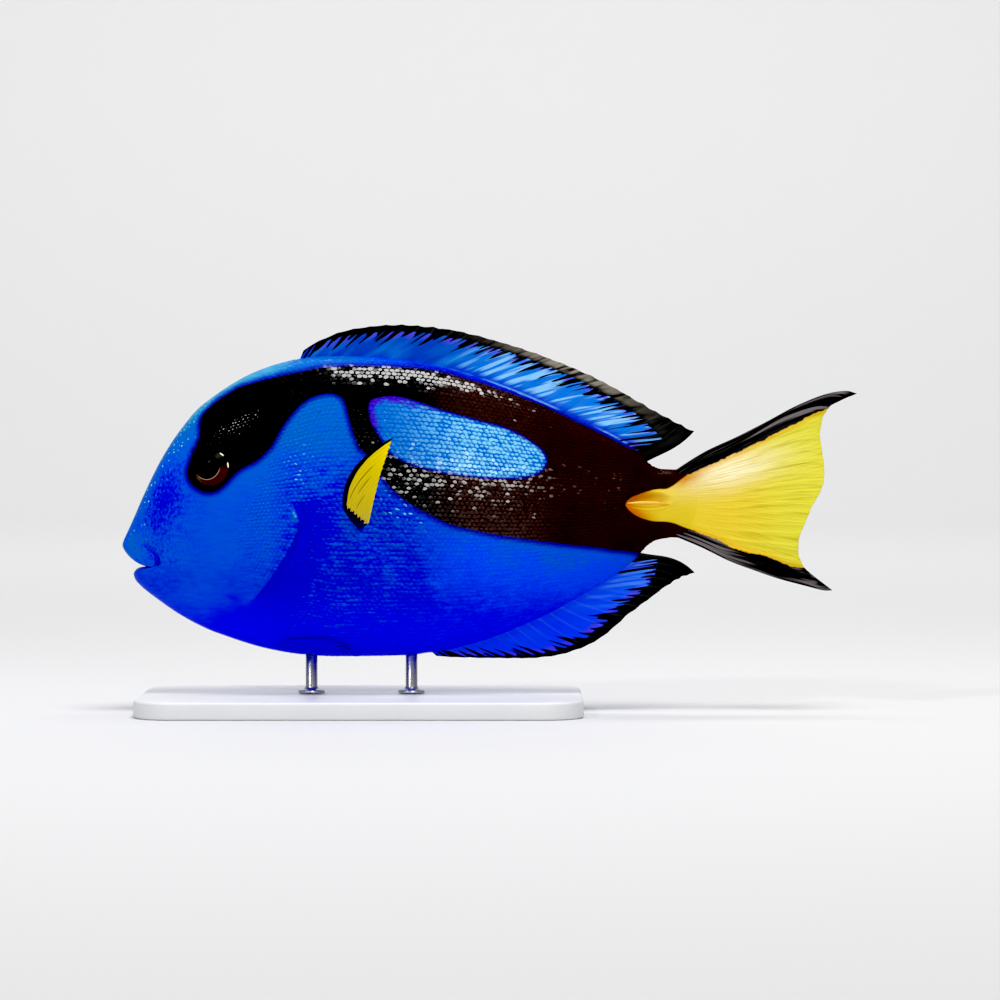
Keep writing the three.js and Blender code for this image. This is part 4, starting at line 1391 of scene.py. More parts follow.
@dataclass
class PelvicFin(Fin):
    """A pelvic fin, folded back along the belly.

    Attributes:
        side: The flank.
        body: The body that it lies against.
        root: The first and the last ray's root, each [x, z].
        tip: The tip of each.
        stand: How far the last ray stands off the belly.
        spread: How much further the first one does.
        width: Its width in the material's eyes.
        off_edge: How far in from a black edge the material takes its own edge to be.
        off_root: How far out from the root it takes all of it to be.
    """

    side: Side = Side.LEFT
    body: BodyForm | None = None
    root: tuple[Pair, Pair] = ((47.5, -48), (51, -46.2))
    tip: tuple[Pair, Pair] = ((80.5, -50.3), (70, -45.6))
    stand: float = 1.4
    spread: float = 1.2
    width: float = 12.0
    off_edge: float = 4.0
    off_root: float = 9.0

    def surface(self, u: Array, v: Array) -> Array:
        """The middle of the sheet."""
        root, tip = (mix(*np.array(ends), u[..., None]) for ends in (self.root, self.tip))
        x, z = np.moveaxis(mix(root, tip, v[..., None]), -1, 0)
        out = self.body.flank(x, z) + mix(-1.2, self.stand + self.spread * (1 - u), smooth(0, 0.45, v))
        return np.stack([x, self.side.value * out, z], -1)

    def fields(self, u: Array, v: Array) -> Fields:
        """The same as a median fin's, without a black edge."""
        none = np.zeros_like(u)
        length = np.linalg.norm(self.surface(u, none + 1) - self.surface(u, none), axis=-1)
        inward = (1 - v) * length + self.off_edge
        return {
            "across": u * self.width, "inward": inward, "rise": none + self.off_root, "rear": none,
            "sheen": none,
        }


class Shader:
    """Builds one material's nodes, with short calls for the few kinds that the finishes use."""

    def __init__(self, name: str) -> None:
        """Starts a material with an empty node tree but for its shader and output."""
        self.material = bpy.data.materials.new(name)
        self.material.use_nodes = True
        self.tree = self.material.node_tree
        self.surface = self.tree.nodes["Principled BSDF"]

    def _node(self, kind: str, *inputs: Value, **settings: Value) -> bpy.types.Node:
        """Adds a node, with its settings and its inputs in order.

        Args:
            kind: The node's type.
            *inputs: A socket to link, the name of a mesh's field to read, or a value to set.
            **settings: The node's own properties.

        Returns:
            The node.
        """
        node = self.tree.nodes.new(kind)
        for name, value in settings.items():
            setattr(node, name, value)
        for target, value in zip([socket for socket in node.inputs if socket.enabled], inputs):
            self._feed(target, self.field(value) if isinstance(value, str) else value)
        return node

    def _feed(self, target: Socket, value: Value) -> None:
        """Links a socket to an input, or sets the input to a value."""
        if isinstance(value, Socket):
            self.tree.links.new(value, target)
        else:
            target.default_value = value

    def field(self, name: str) -> Socket:
        """Reads a value of the mesh."""
        return self._node("ShaderNodeAttribute", attribute_name=name).outputs["Fac"]

    def place(self) -> Socket:
        """The place on the object, in metres."""
        return self._node("ShaderNodeTexCoord").outputs["Object"]

    def part(self, vector: Socket, axis: str) -> Socket:
        """One of a place's three numbers: X, Y or Z."""
        return self._node("ShaderNodeSeparateXYZ", vector).outputs[axis]

    def stretch(self, vector: Socket, scale: Triple) -> Socket:
        """Scales a place, each axis by its own amount."""
        return self._node("ShaderNodeVectorMath", vector, scale, operation="MULTIPLY").outputs[0]

    def noise(self, vector: Socket, scale: float, detail: float) -> Socket:
        """Soft random values from 0 to 1."""
        return self._node("ShaderNodeTexNoise", vector, scale, detail).outputs["Fac"]

    def join(self, *values: Value) -> Socket:
        """Makes a place of three numbers."""
        return self._node("ShaderNodeCombineXYZ", *values).outputs[0]

    def cells(self, vector: Socket, scale: float) -> Socket:
        """The distance to the nearest of many scattered spots."""
        return self._node("ShaderNodeTexVoronoi", vector, scale).outputs["Distance"]

    def _math(self, operation: str, *values: Value) -> Socket:
        """Works out one number from others."""
        return self._node("ShaderNodeMath", *values, operation=operation).outputs[0]

    def plus(self, first: Value, second: Value) -> Socket:
        """The sum of two numbers."""
        return self._math("ADD", first, second)

    def times(self, first: Value, *others: Value) -> Socket:
        """The product of numbers."""
        for other in others:
            first = self._math("MULTIPLY", first, other)
        return first

    def scaled(self, value: Value, factor: Value, offset: Value) -> Socket:
        """A number times a factor, plus an offset."""
        return self._math("MULTIPLY_ADD", value, factor, offset)

    def spread(self, value: Value, width: float) -> Socket:
        """Turns a number from 0 to 1 into one that strays this much in all, round 0."""
        return self.scaled(value, width, -width / 2)

    def larger(self, first: Value, second: Value) -> Socket:
        """The larger of two numbers."""
        return self._math("MAXIMUM", first, second)

    def step(self, value: Value, low: float, high: float, start: float = 0.0, end: float = 1.0) -> Socket:
        """A soft step of a value, from start at low to end at high."""
        limits = (low, high, start, end)
        return self._node("ShaderNodeMapRange", value, *limits, interpolation_type="SMOOTHSTEP").outputs[0]

    def blend(self, share: Value, first: Value, second: Value) -> Socket:
        """Mixes two colours. The third of the node's results is the one for colours."""
        return self._node("ShaderNodeMix", share, first, second, data_type="RGBA").outputs[2]

    def bump(self, height: Socket, distance: float, strength: float = 1.0) -> None:
        """Shades the surface as if it had this height, in metres at a height of 1."""
        node = self.tree.nodes.new("ShaderNodeBump")
        node.inputs["Strength"].default_value = strength
        node.inputs["Distance"].default_value = distance
        self.tree.links.new(height, node.inputs["Height"])
        self.tree.links.new(node.outputs["Normal"], self.surface.inputs["Normal"])

    def set(self, **values: Value) -> None:
        """Sets the shader's inputs, with _ for a space in their names.

        Args:
            **values: A socket to link, or a value to set.
        """
        for name, value in values.items():
            self._feed(self.surface.inputs[name.replace("_", " ")], value)


@dataclass(frozen=True)
class Finish:
    """A material, which is built once and then shared.

    Attributes:
        name: The material's name.
    """

    name: str

    def material(self) -> bpy.types.Material:
        """Finds the material, or builds it at the first call."""
        known = bpy.data.materials.get(self.name)
        if known:
            return known
        shader = Shader(self.name)
        self.dress(shader)
        return shader.material

    def dress(self, shader: Shader) -> None:
        """Adds the nodes of the finish."""
        raise NotImplementedError


@dataclass(frozen=True)
class TailGold:
    """The tail's yellow.

    Attributes:
        yellow: Its front part.
        outer: Its greener outer part.
        pleat: The fine dark pleats along the rays.
        cream: The cream of the painted highlight near the root.
        orange: The stalk, and the painted shade in the hollow round the spine.
        finest: How many times the rays' lines change over one radian.
    """

    yellow: Colour = srgb(230, 200, 62)
    outer: Colour = srgb(220, 212, 70)
    pleat: Colour = srgb(180, 156, 24)
    cream: Colour = srgb(254, 244, 200)
    orange: Colour = srgb(196, 108, 4)
    finest: float = 105.0

    def rays(self, shader: Shader) -> Socket:
        """Random values in fine lines that fan out with the rays."""
        ray = shader.times("fan", self.finest)
        along = shader.times("out", 0.07)
        return shader.noise(shader.join(ray, along, 2.0), 1, 2)

    def colour(self, shader: Shader, rays: Socket) -> Socket:
        """The colour at each place of the fan.

        Args:
            shader: The material in the making.
            rays: The lines along the rays.

        Returns:
            The colour.
        """
        out = shader.field("out")
        colour = shader.blend(shader.step(out, 38, 68), self.yellow, self.outer)
        pleats = shader.times(shader.step(rays, 0.5, 0.72), shader.step(out, 30, 64, 0.05, 0.6))
        colour = shader.blend(pleats, colour, self.pleat)
        # A painted highlight: the cream patch near the root, broken by the rays' lines.
        cream = shader.times("cream", shader.step(rays, 0.44, 0.64, 1.0, 0.4))
        colour = shader.blend(cream, colour, self.cream)
        # The stalk's orange, and painted shade in the spine's groove.
        inner = shader.step("yellow", -4, -0.5, 0.35, 1.0)
        return shader.blend(shader.times(inner, "apex"), colour, self.orange)


@dataclass(frozen=True)
class SkinFinish(Finish):
    """Skin or scales: blue from azure to ultramarine, with black palette, blue oval and yellow tail.

    Attributes:
        scaled: Whether this is the scales' own finish.
        palest_speck_and_glint: The palest specks, and the painted glints and gill cover highlight.
        cyan: The paler blue round them.
        azure: The light blue of the nape and the cheek.
        middle: The blue between that and the deepest, in front.
        rear_middle: The same, behind.
        ultramarine: The deepest blue, along the belly.
        deep: The deepest blue elsewhere.
        fringe: The dark edge where blue meets black.
        violet: The streaks at the oval's upper front corner.
        oval: The oval's blue, in front.
        oval_gap: Its blue behind, between the scales' crowns.
        oval_crown_highlight: The scales' crowns there, painted lighter as highlights.
        black: The palette.
        brown: The brown that mottles the palette behind.
        gold: The tail's yellow.
        edge: How far a marking's edge is soft to each side.
    """

    scaled: bool = False
    palest_speck_and_glint: Colour = srgb(150, 214, 246)
    cyan: Colour = srgb(78, 164, 188)
    azure: Colour = srgb(2, 98, 190)
    middle: Colour = srgb(0, 84, 216)
    rear_middle: Colour = srgb(0, 76, 250)
    ultramarine: Colour = srgb(0, 4, 236)
    deep: Colour = srgb(0, 4, 206)
    fringe: Colour = srgb(4, 0, 150)
    violet: Colour = srgb(66, 26, 188)
    oval: Colour = srgb(4, 104, 202)
    oval_gap: Colour = srgb(8, 106, 204)
    oval_crown_highlight: Colour = srgb(120, 200, 238)
    black: Colour = srgb(5, 4, 5)
    brown: Colour = srgb(56, 33, 26)
    gold: TailGold = TailGold()
    edge: float = 0.3

    def light(self, shader: Shader, place: Socket, mottle: Socket, rows: Socket) -> Socket:
        """Works out how light the blue is.

        Args:
            shader: The material in the making.
            place: The place on the object.
            mottle: Large soft mottling.
            rows: Fine lines along the rows of scales.

        Returns:
            From 0, the deepest blue, to nearly 2, the palest specks and painted highlights.
        """
        light = shader.plus("light", shader.spread(mottle, 0.4))
        light = shader.scaled("shade", -0.5, light)
        worms = shader.noise(shader.stretch(place, (1.0, 1.0, 0.7)), 1300, 2)
        light = shader.plus(light, shader.times(shader.spread(worms, 1.3), "snout"))
        share = shader.scaled("rows", 0.8, 0.4)
        light = shader.plus(light, shader.times(shader.plus(rows, -0.5), share))
        # Pale specks, and painted glints where the patch below the palette lies.
        freckles = shader.step(shader.cells(place, 680), 0.13, 0.32, 1.5, 0.0)
        freckles = shader.times(freckles, shader.step(worms, 0.43, 0.62), "freckles")
        light = shader.plus(light, freckles)
        if self.scaled:
            # Painted glints on the scales' crowns where the specks lie.
            painted_glint = shader.times(shader.step("tint", 0.15, 0.5), "freckles")
            painted_glint = shader.times(painted_glint, shader.step("crown", 0.45, 0.9, 0.0, 1.6))
            light = shader.plus(shader.scaled("tint", 0.07, light), painted_glint)
            # Painted relief shading: each crown lighter on its upper rear side, most in the rows behind the
            # gill cover.
            light = shader.scaled("crown", shader.scaled("rows", 0.26, 0.03), light)
        return light

    def dress(self, shader: Shader) -> None:
        """Adds the nodes of the finish."""
        place = shader.place()
        mottle = shader.noise(place, 90, 4)
        fine = shader.noise(place, 900, 2)
        rows = shader.noise(shader.stretch(place, (240, 240, 1000)), 1, 2)
        wander = shader.spread(mottle, 1.2)
        palette, oval, yellow = (shader.plus(name, wander) for name in ("palette", "oval", "yellow"))
        light = self.light(shader, place, mottle, rows)
        # The blue outside the palette, from the deepest to the palest specks and painted highlights.
        middle = shader.blend("front", self.rear_middle, self.middle)
        blue = shader.blend("belly", self.deep, self.ultramarine)
        steps = ((0, 0.6, middle), (0.45, 1, self.azure), (1.05, 1.6, self.cyan), (1.4, 1.85, self.palest_speck_and_glint))
        for low, high, paler in steps:
            blue = shader.blend(shader.step(light, low, high), blue, paler)
        blue = shader.blend(shader.step(palette, 0.2, 2.2, 0.9, 0.0), blue, self.fringe)
        brown = shader.scaled("front", -1.0, shader.times(mottle, 0.6))
        black = shader.blend(shader.step(brown, -0.4, 0.5), self.black, self.brown)
        # The oval's blue: plain in front, and behind painted highlights on the scales' crowns over the blue
        # between.
        cloud = shader.spread(shader.noise(place, 260, 2), 1.3)
        crown = shader.scaled("tint", 0.2, shader.plus("crown", cloud))
        light_blue = shader.blend(shader.step(crown, -0.1, 0.65), self.oval_gap, self.oval_crown_highlight)
        light_blue = shader.blend("front", light_blue, self.oval)
        light_blue = shader.blend(shader.step(oval, -1.5, -0.1), light_blue, self.fringe)
        brow = shader.times("brow", shader.step(rows, 0.4, 0.6, 0.25, 1.0))
        brow = shader.times(shader.step(brow, 0.1, 0.6), shader.step(oval, -3.4, -1.0))
        light_blue = shader.blend(brow, light_blue, self.violet)
        # The markings over each other, with the tail's yellow on top.
        rays = self.gold.rays(shader)
        soft = (-self.edge, self.edge)
        colour = shader.blend(shader.step(palette, *soft), black, blue)
        colour = shader.blend(shader.step(oval, *soft), light_blue, colour)
        colour = shader.blend(shader.step(yellow, *soft), self.gold.colour(shader, rays), colour)
        dark = shader.times(shader.step(palette, *soft, 1.0, 0.0), shader.step(oval, *soft))
        # The gloss: strong on black and weaker on the oval, and on bare skin only at the snout.
        if self.scaled:
            coat = shader.larger(dark, shader.step(oval, *soft, 0.5, 0.0))
            coat = shader.times(shader.scaled(coat, 0.65, 0.2), "gloss")
        else:
            coat = shader.times("snout", shader.step(palette, 0.0, 2.0, 0.0, 0.2))
        # The relief: fine grain and wrinkles, and the tail's rays.
        wrinkles = shader.noise(shader.stretch(place, (260, 260, 1500)), 1, 2)
        height = shader.scaled(wrinkles, 2.2, fine)
        fan = shader.times(rays, shader.step(yellow, -1.0, 0.0, 5.0, 0.0))
        fan = shader.times(fan, shader.step("out", 18, 28))
        shader.bump(shader.plus(height, fan), 0.00006, 0.5)
        shader.set(
            Base_Color=colour,
            Roughness=shader.step(fine, 0.3, 0.7, 0.34, 0.46),
            Specular_IOR_Level=shader.scaled(dark, -0.09, 0.1),
            Coat_Weight=coat,
            Coat_Roughness=0.12 if self.scaled else 0.25,
        )


@dataclass(frozen=True)
class FinFinish(Finish):
    """The blue fins: a black edge that runs out in streaks along the rays, and paler strokes behind.

    Attributes:
        front: The blue of the fin's front part.
        cloud: Its paler patches.
        back: The blue of its rear part.
        base: The deep blue along its root.
        pale: The pale strokes.
        lavender: The tips between the black streaks.
        black: The edge.
        grey: The edge's sheen.
    """

    front: Colour = srgb(2, 70, 178)
    cloud: Colour = srgb(40, 124, 212)
    back: Colour = srgb(22, 112, 214)
    base: Colour = srgb(0, 24, 196)
    pale: Colour = srgb(128, 190, 248)
    lavender: Colour = srgb(92, 66, 214)
    black: Colour = srgb(4, 4, 5)
    grey: Colour = srgb(142, 136, 124)

    def strokes(self, shader: Shader, width: float, length: float, number: float) -> Socket:
        """Random values in strokes that run along the rays.

        Args:
            shader: The material in the making.
            width: Typical width of a stroke, in millimetres.
            length: Its typical length.
            number: Which of many patterns to take.

        Returns:
            Values from 0 to 1.
        """
        across = shader.times("across", 1 / width)
        along = shader.times("inward", 1 / length)
        return shader.noise(shader.join(across, along, number), 1, 1)

    def dress(self, shader: Shader) -> None:
        """Adds the nodes of the finish."""
        inward, rear, rise = shader.field("inward"), shader.field("rear"), shader.field("rise")
        patches = shader.step(self.strokes(shader, 5, 12, 13), 0.4, 0.72, 0.0, 0.7)
        colour = shader.blend(rear, shader.blend(patches, self.front, self.cloud), self.back)
        low = shader.step(rise, 0.2, 4.5, 0.8, 0.0)
        colour = shader.blend(shader.times(low, shader.step(rear, 0.0, 0.6, 0.2, 1.0)), colour, self.base)
        pale = shader.step(self.strokes(shader, 2.1, 14, 7), 0.46, 0.58)
        pale = shader.times(pale, rear, shader.step(rise, 1.0, 4.0))
        colour = shader.blend(pale, colour, self.pale)
        line = shader.times(shader.step(rise, 0.4, 1.4, 0.7, 0.0), rear)
        line = shader.times(line, shader.step(self.strokes(shader, 9, 30, 11), 0.4, 0.6))
        colour = shader.blend(line, colour, self.pale)
        tips = shader.times(shader.step(inward, 0.4, 4.2, 0.9, 0.0), shader.step(inward, 0.0, 1.2))
        tips = shader.times(tips, shader.step(self.strokes(shader, 2.6, 8, 5), 0.4, 0.56))
        colour = shader.blend(tips, colour, self.lavender)
        streak = shader.scaled(inward, -0.045, self.strokes(shader, 1.5, 12, 1))
        thin = shader.scaled(inward, -0.012, self.strokes(shader, 0.75, 16, 3))
        thin = shader.times(shader.step(thin, 0.6, 0.66), rear)
        dark = shader.larger(shader.step(streak, 0.42, 0.455), thin)
        dark = shader.larger(dark, shader.step(inward, -0.1, 0.25, 1.0, 0.0))
        grey = shader.times("sheen", shader.step(inward, -1.6, 0.4, 1.0, 0.0))
        grey = shader.times(grey, shader.step(self.strokes(shader, 2.2, 9, 9), 0.36, 0.6))
        colour = shader.blend(dark, colour, shader.blend(grey, self.black, self.grey))
        shader.bump(shader.noise(shader.place(), 1500, 2), 0.00004, 0.4)
        shader.set(
            Base_Color=colour, Roughness=0.4, Specular_IOR_Level=0.08, Coat_Weight=0.06, Coat_Roughness=0.2,
        )


@dataclass(frozen=True)
class TailFinish(Finish):
    """The tail fin: yellow between black lobes, with orange along their edges.

    Attributes:
        gold: The yellow.
        black: The lobes.
        grey: Painted sheen in streaks along their rays.
        orange: The yellow's edge.
    """

    name: str = "tail_fin_skin"
    gold: TailGold = TailGold()
    black: Colour = srgb(7, 5, 6)
    grey: Colour = srgb(122, 114, 116)
    orange: Colour = srgb(232, 160, 20)

    def dress(self, shader: Shader) -> None:
        """Adds the nodes of the finish."""
        place = shader.place()
        streaks = self.gold.rays(shader)
        colour = self.gold.colour(shader, streaks)
        edge = shader.plus("yellow", shader.spread(shader.noise(place, 120, 4), 1.2))
        edge = shader.plus(edge, shader.spread(shader.noise(place, 700, 2), 1.1))
        colour = shader.blend(shader.step(edge, -2.2, -0.2, 0.0, 0.5), colour, self.orange)
        # The lobes: black, with a painted grey sheen in streaks along their rays.
        rays, along = shader.times("u", 34), shader.times("v", 2.2)
        grooves = shader.step(shader.noise(shader.join(rays, along, 4.0), 1, 2), 0.5, 0.66, 0.0, 0.8)
        lobe = shader.blend(grooves, self.black, self.grey)
        colour = shader.blend(shader.step(edge, -0.25, 0.25), colour, lobe)
        shader.bump(shader.scaled(streaks, 5.0, shader.noise(place, 1500, 2)), 0.00006, 0.5)
        shader.set(
            Base_Color=colour, Roughness=0.4, Specular_IOR_Level=0.1, Coat_Weight=0.06, Coat_Roughness=0.2,
        )


@dataclass(frozen=True)
class PectoralFinish(Finish):
    """A pectoral fin: yellow with a black leading edge and root, and dark lines along the rays.

    Attributes:
        yellow: The skin.
        shade: The lines along the rays, and the folds.
        black: The leading edge and the root.
    """

    name: str = "pectoral_fin_skin"
    yellow: Colour = srgb(234, 208, 12)
    shade: Colour = srgb(128, 100, 4)
    black: Colour = srgb(8, 6, 8)

    def dress(self, shader: Shader) -> None:
        """Adds the nodes of the finish."""
        line = shader.step("crest", 0.1, 0.6, 0.1, 0.0)
        line = shader.larger(line, shader.times("pleat", 0.85))
        colour = shader.blend(line, self.yellow, self.shade)
        dark = shader.plus("dark", shader.spread(shader.noise(shader.place(), 260, 3), 0.7))
        colour = shader.blend(shader.step(dark, 0.22, 0.5), colour, self.black)
        shader.set(Base_Color=colour, Roughness=0.4, Specular_IOR_Level=0.1, Coat_Weight=0.1)


@dataclass(frozen=True)
class EyeFinish(Finish):
    """The eye: a black pupil in a thin gold line and a red-brown iris, under a clear gloss.

    Attributes:
        pupil: The pupil.
        gold: The thin line round it.
        glint: The painted highlights on the iris's rim.
        iris: The iris.
        olive: The iris's front part.
        shade: The iris's dark speckles.
        rim: The skin round the iris, and the painted shade over the iris's upper part.
        eye: The eye, for its sizes.
    """

    name: str = "eye_gloss"
    pupil: Colour = srgb(2, 2, 3)
    gold: Colour = srgb(206, 166, 146)
    glint: Colour = srgb(255, 244, 204)
    iris: Colour = srgb(74, 38, 26)
    olive: Colour = srgb(112, 94, 50)
    shade: Colour = srgb(44, 18, 12)
    rim: Colour = srgb(6, 4, 5)
    eye: Eye = Eye()

    def dress(self, shader: Shader) -> None:
        """Adds the nodes of the finish."""
        ring, pupil, edge = shader.field("ring"), self.eye.pupil, self.eye.iris
        speckle = shader.noise(shader.place(), 1400, 4)
        iris = shader.blend(shader.step("tailward", -0.7, -0.4), self.olive, self.iris)
        iris = shader.blend(shader.step(speckle, 0.4, 0.75, 0.0, 0.85), iris, self.shade)
        # Painted shade: the iris's upper part darkens to the rim's black, and its gold line fades there.
        level = shader.scaled("tailward", -0.3, "north")
        iris = shader.blend(shader.step(level, -0.35, 0.05), iris, self.rim)
        line = shader.step(ring, pupil + 0.1, pupil + 0.32, 1.0, 0.0)
        line = shader.times(line, shader.step(level, -0.4, -0.1, 0.75, 0.0))
        iris = shader.blend(line, iris, self.gold)
        colour = shader.blend(shader.step(ring, pupil - 0.08, pupil + 0.08), self.pupil, iris)
        colour = shader.blend(shader.step("rim", edge - 0.25, edge + 0.1), colour, self.rim)
        # Painted highlights on the iris's rim, in pale gold.
        colour = shader.blend(shader.step("glint", 0.3, 0.6), colour, self.glint)
        shader.set(
            Base_Color=colour, Roughness=0.3, Specular_IOR_Level=0.04,
            Coat_Weight=0.012, Coat_Roughness=0.02,
        )


@dataclass(frozen=True)
class SpineFinish(Finish):
    """The tail spine.

    Attributes:
        horn: The blade.
        hinge: Its orange root and grain.
    """

    name: str = "spine_horn"
    horn: Colour = srgb(232, 182, 64)
    hinge: Colour = srgb(222, 160, 20)

    def dress(self, shader: Shader) -> None:
        """Adds the nodes of the finish."""
        grain = shader.noise(shader.stretch(shader.place(), (200, 900, 900)), 1, 3)
        colour = shader.blend(shader.step("along", 0, 0.5), self.hinge, self.horn)
        colour = shader.blend(shader.step(grain, 0.5, 0.8, 0.0, 0.35), colour, self.hinge)
        shader.set(Base_Color=colour, Roughness=0.28, Coat_Weight=0.4, Coat_Roughness=0.12)


@dataclass(frozen=True)
class PaintFinish(Finish):
    """The satin paint of the stand's plate.

    Attributes:
        light: Its pale grey.
        dark: The slightly darker grey that clouds it.
    """

    name: str = "stand_paint"
    light: Colour = srgb(226, 227, 228)
    dark: Colour = srgb(214, 215, 217)

    def dress(self, shader: Shader) -> None:
        """Adds the nodes of the finish."""
        place = shader.place()
        colour = shader.blend(shader.noise(place, 40, 4), self.light, self.dark)
        shader.bump(shader.noise(place, 2600, 3), 0.00003, 0.35)
        shader.set(Base_Color=colour, Roughness=0.42, Coat_Weight=0.15, Coat_Roughness=0.3)


@dataclass(frozen=True)
class SteelFinish(Finish):
    """The steel of the stand's rods, brushed round and round.

    Attributes:
        light: The steel.
        dark: The brushed lines.
    """

    name: str = "stand_steel"
    light: Colour = srgb(206, 207, 210)
    dark: Colour = srgb(168, 170, 174)

    def dress(self, shader: Shader) -> None:
        """Adds the nodes of the finish."""
        lines = shader.noise(shader.stretch(shader.place(), (120, 120, 9000)), 1, 3)
        colour = shader.blend(lines, self.light, self.dark)
        shader.bump(lines, 0.00002, 0.4)
        shader.set(Base_Color=colour, Metallic=1.0, Roughness=shader.step(lines, 0.3, 0.7, 0.22, 0.38))


@dataclass(frozen=True)
class PaperFinish(Finish):
    """The backdrop's paper: greyer where more light falls, so that it looks even.

    Attributes:
        near: In front of the fish.
        under: Below the fish.
        far: Behind it.
        wall: The wall.
    """

    name: str = "floor_paper"
    near: Colour = srgb(203, 203, 204)
    under: Colour = srgb(213, 213, 214)
    far: Colour = srgb(225, 225, 226)
    wall: Colour = srgb(230, 230, 231)

    def dress(self, shader: Shader) -> None:
        """Adds the nodes of the finish."""
        back, up = shader.part(shader.place(), "Y"), shader.part(shader.place(), "Z")
        colour = shader.blend(shader.step(back, -0.7, 0.3), self.near, self.under)
        colour = shader.blend(shader.step(back, 0.2, 1.4), colour, self.far)
        shader.set(Base_Color=shader.blend(shader.step(up, 0.0, 0.5), colour, self.wall), Roughness=0.85)


@dataclass(frozen=True)
class Stand:
    """The display stand: a flat plate and two rods with flanges.

    Attributes:
        corner: Radius of the plate's corners.
        bevel: Width of the plate's rounded upper edge.
        rod: Radius of a rod.
        flange: Radius of its flange.
        flange_height: Height of the flange.
        gap: Clearance between plate and flange.
        spokes: Vertices round a rod.
    """

    corner: float = 14.0
    bevel: float = 1.0
    rod: float = 2.0
    flange: float = 4.6
    flange_height: float = 1.6
    gap: float = 0.3
    spokes: int = 48

    def plate(self, finish: PaintFinish) -> None:
        """Builds the plate, with rounded corners and edges."""
        low, high = FishFrame().packed("stand_base")
        middle, half = (low + high) / 2, (high - low) / 2
        quarter = np.linspace(0, math.pi / 2, 14)
        turns = np.concatenate([quarter + k * math.pi / 2 for k in range(4)])
        signs = np.repeat([(1, 1), (-1, 1), (-1, -1), (1, -1)], len(quarter), axis=0)
        bend = np.linspace(0, math.pi / 2, 6)
        start, end = self.bevel * (1 - np.cos(bend)), self.bevel * (1 - np.sin(bend))
        inset, level = np.append(end, start), np.append(low[2] + start, high[2] - end)
        rings = []
        for step_in, z in zip(inset, level):
            radius = self.corner - step_in
            x = middle[0] + signs[:, 0] * (half[0] - self.corner) + radius * np.cos(turns)
            y = middle[1] + signs[:, 1] * (half[1] - self.corner) + radius * np.sin(turns)
            rings.append(np.stack([x, y, np.full(len(x), z)], -1))
        piece = Piece("plate", np.vstack(rings), stack_faces(len(rings), len(turns)))
        piece.make(finish.material(), ["stand_base"])

    def rod_up(self, node: str, finish: SteelFinish) -> None:
        """Builds a rod with its flange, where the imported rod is.

        Args:
            node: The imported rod.
            finish: Its material.
        """
        low, high = FishFrame().packed(node)
        middle = (low + high) / 2
        plate_top = FishFrame().plate_top + self.gap
        rise = self.flange_height
        profile = np.array([
            (self.rod, low[2]), (self.rod, plate_top), (self.flange - 0.3, plate_top),
            (self.flange, plate_top + 0.3), (self.flange, plate_top + rise / 2),
            (self.flange - 0.35, plate_top + rise / 2 + 0.3), (self.rod + 1.1, plate_top + rise * 0.75),
            (self.rod + 0.5, plate_top + rise), (self.rod, plate_top + rise * 1.5), (self.rod, high[2]),
        ])
        spin = np.arange(self.spokes) * 2 * math.pi / self.spokes
        radius, level = profile[:, :1], np.repeat(profile[:, 1:], self.spokes, 1)
        rings = [middle[0] + radius * np.cos(spin), middle[1] + radius * np.sin(spin), level]
        points = np.stack(rings, -1).reshape(-1, 3)
        piece = Piece(node.replace("stand_", ""), points, stack_faces(len(profile), self.spokes))
        piece.make(finish.material(), [node])


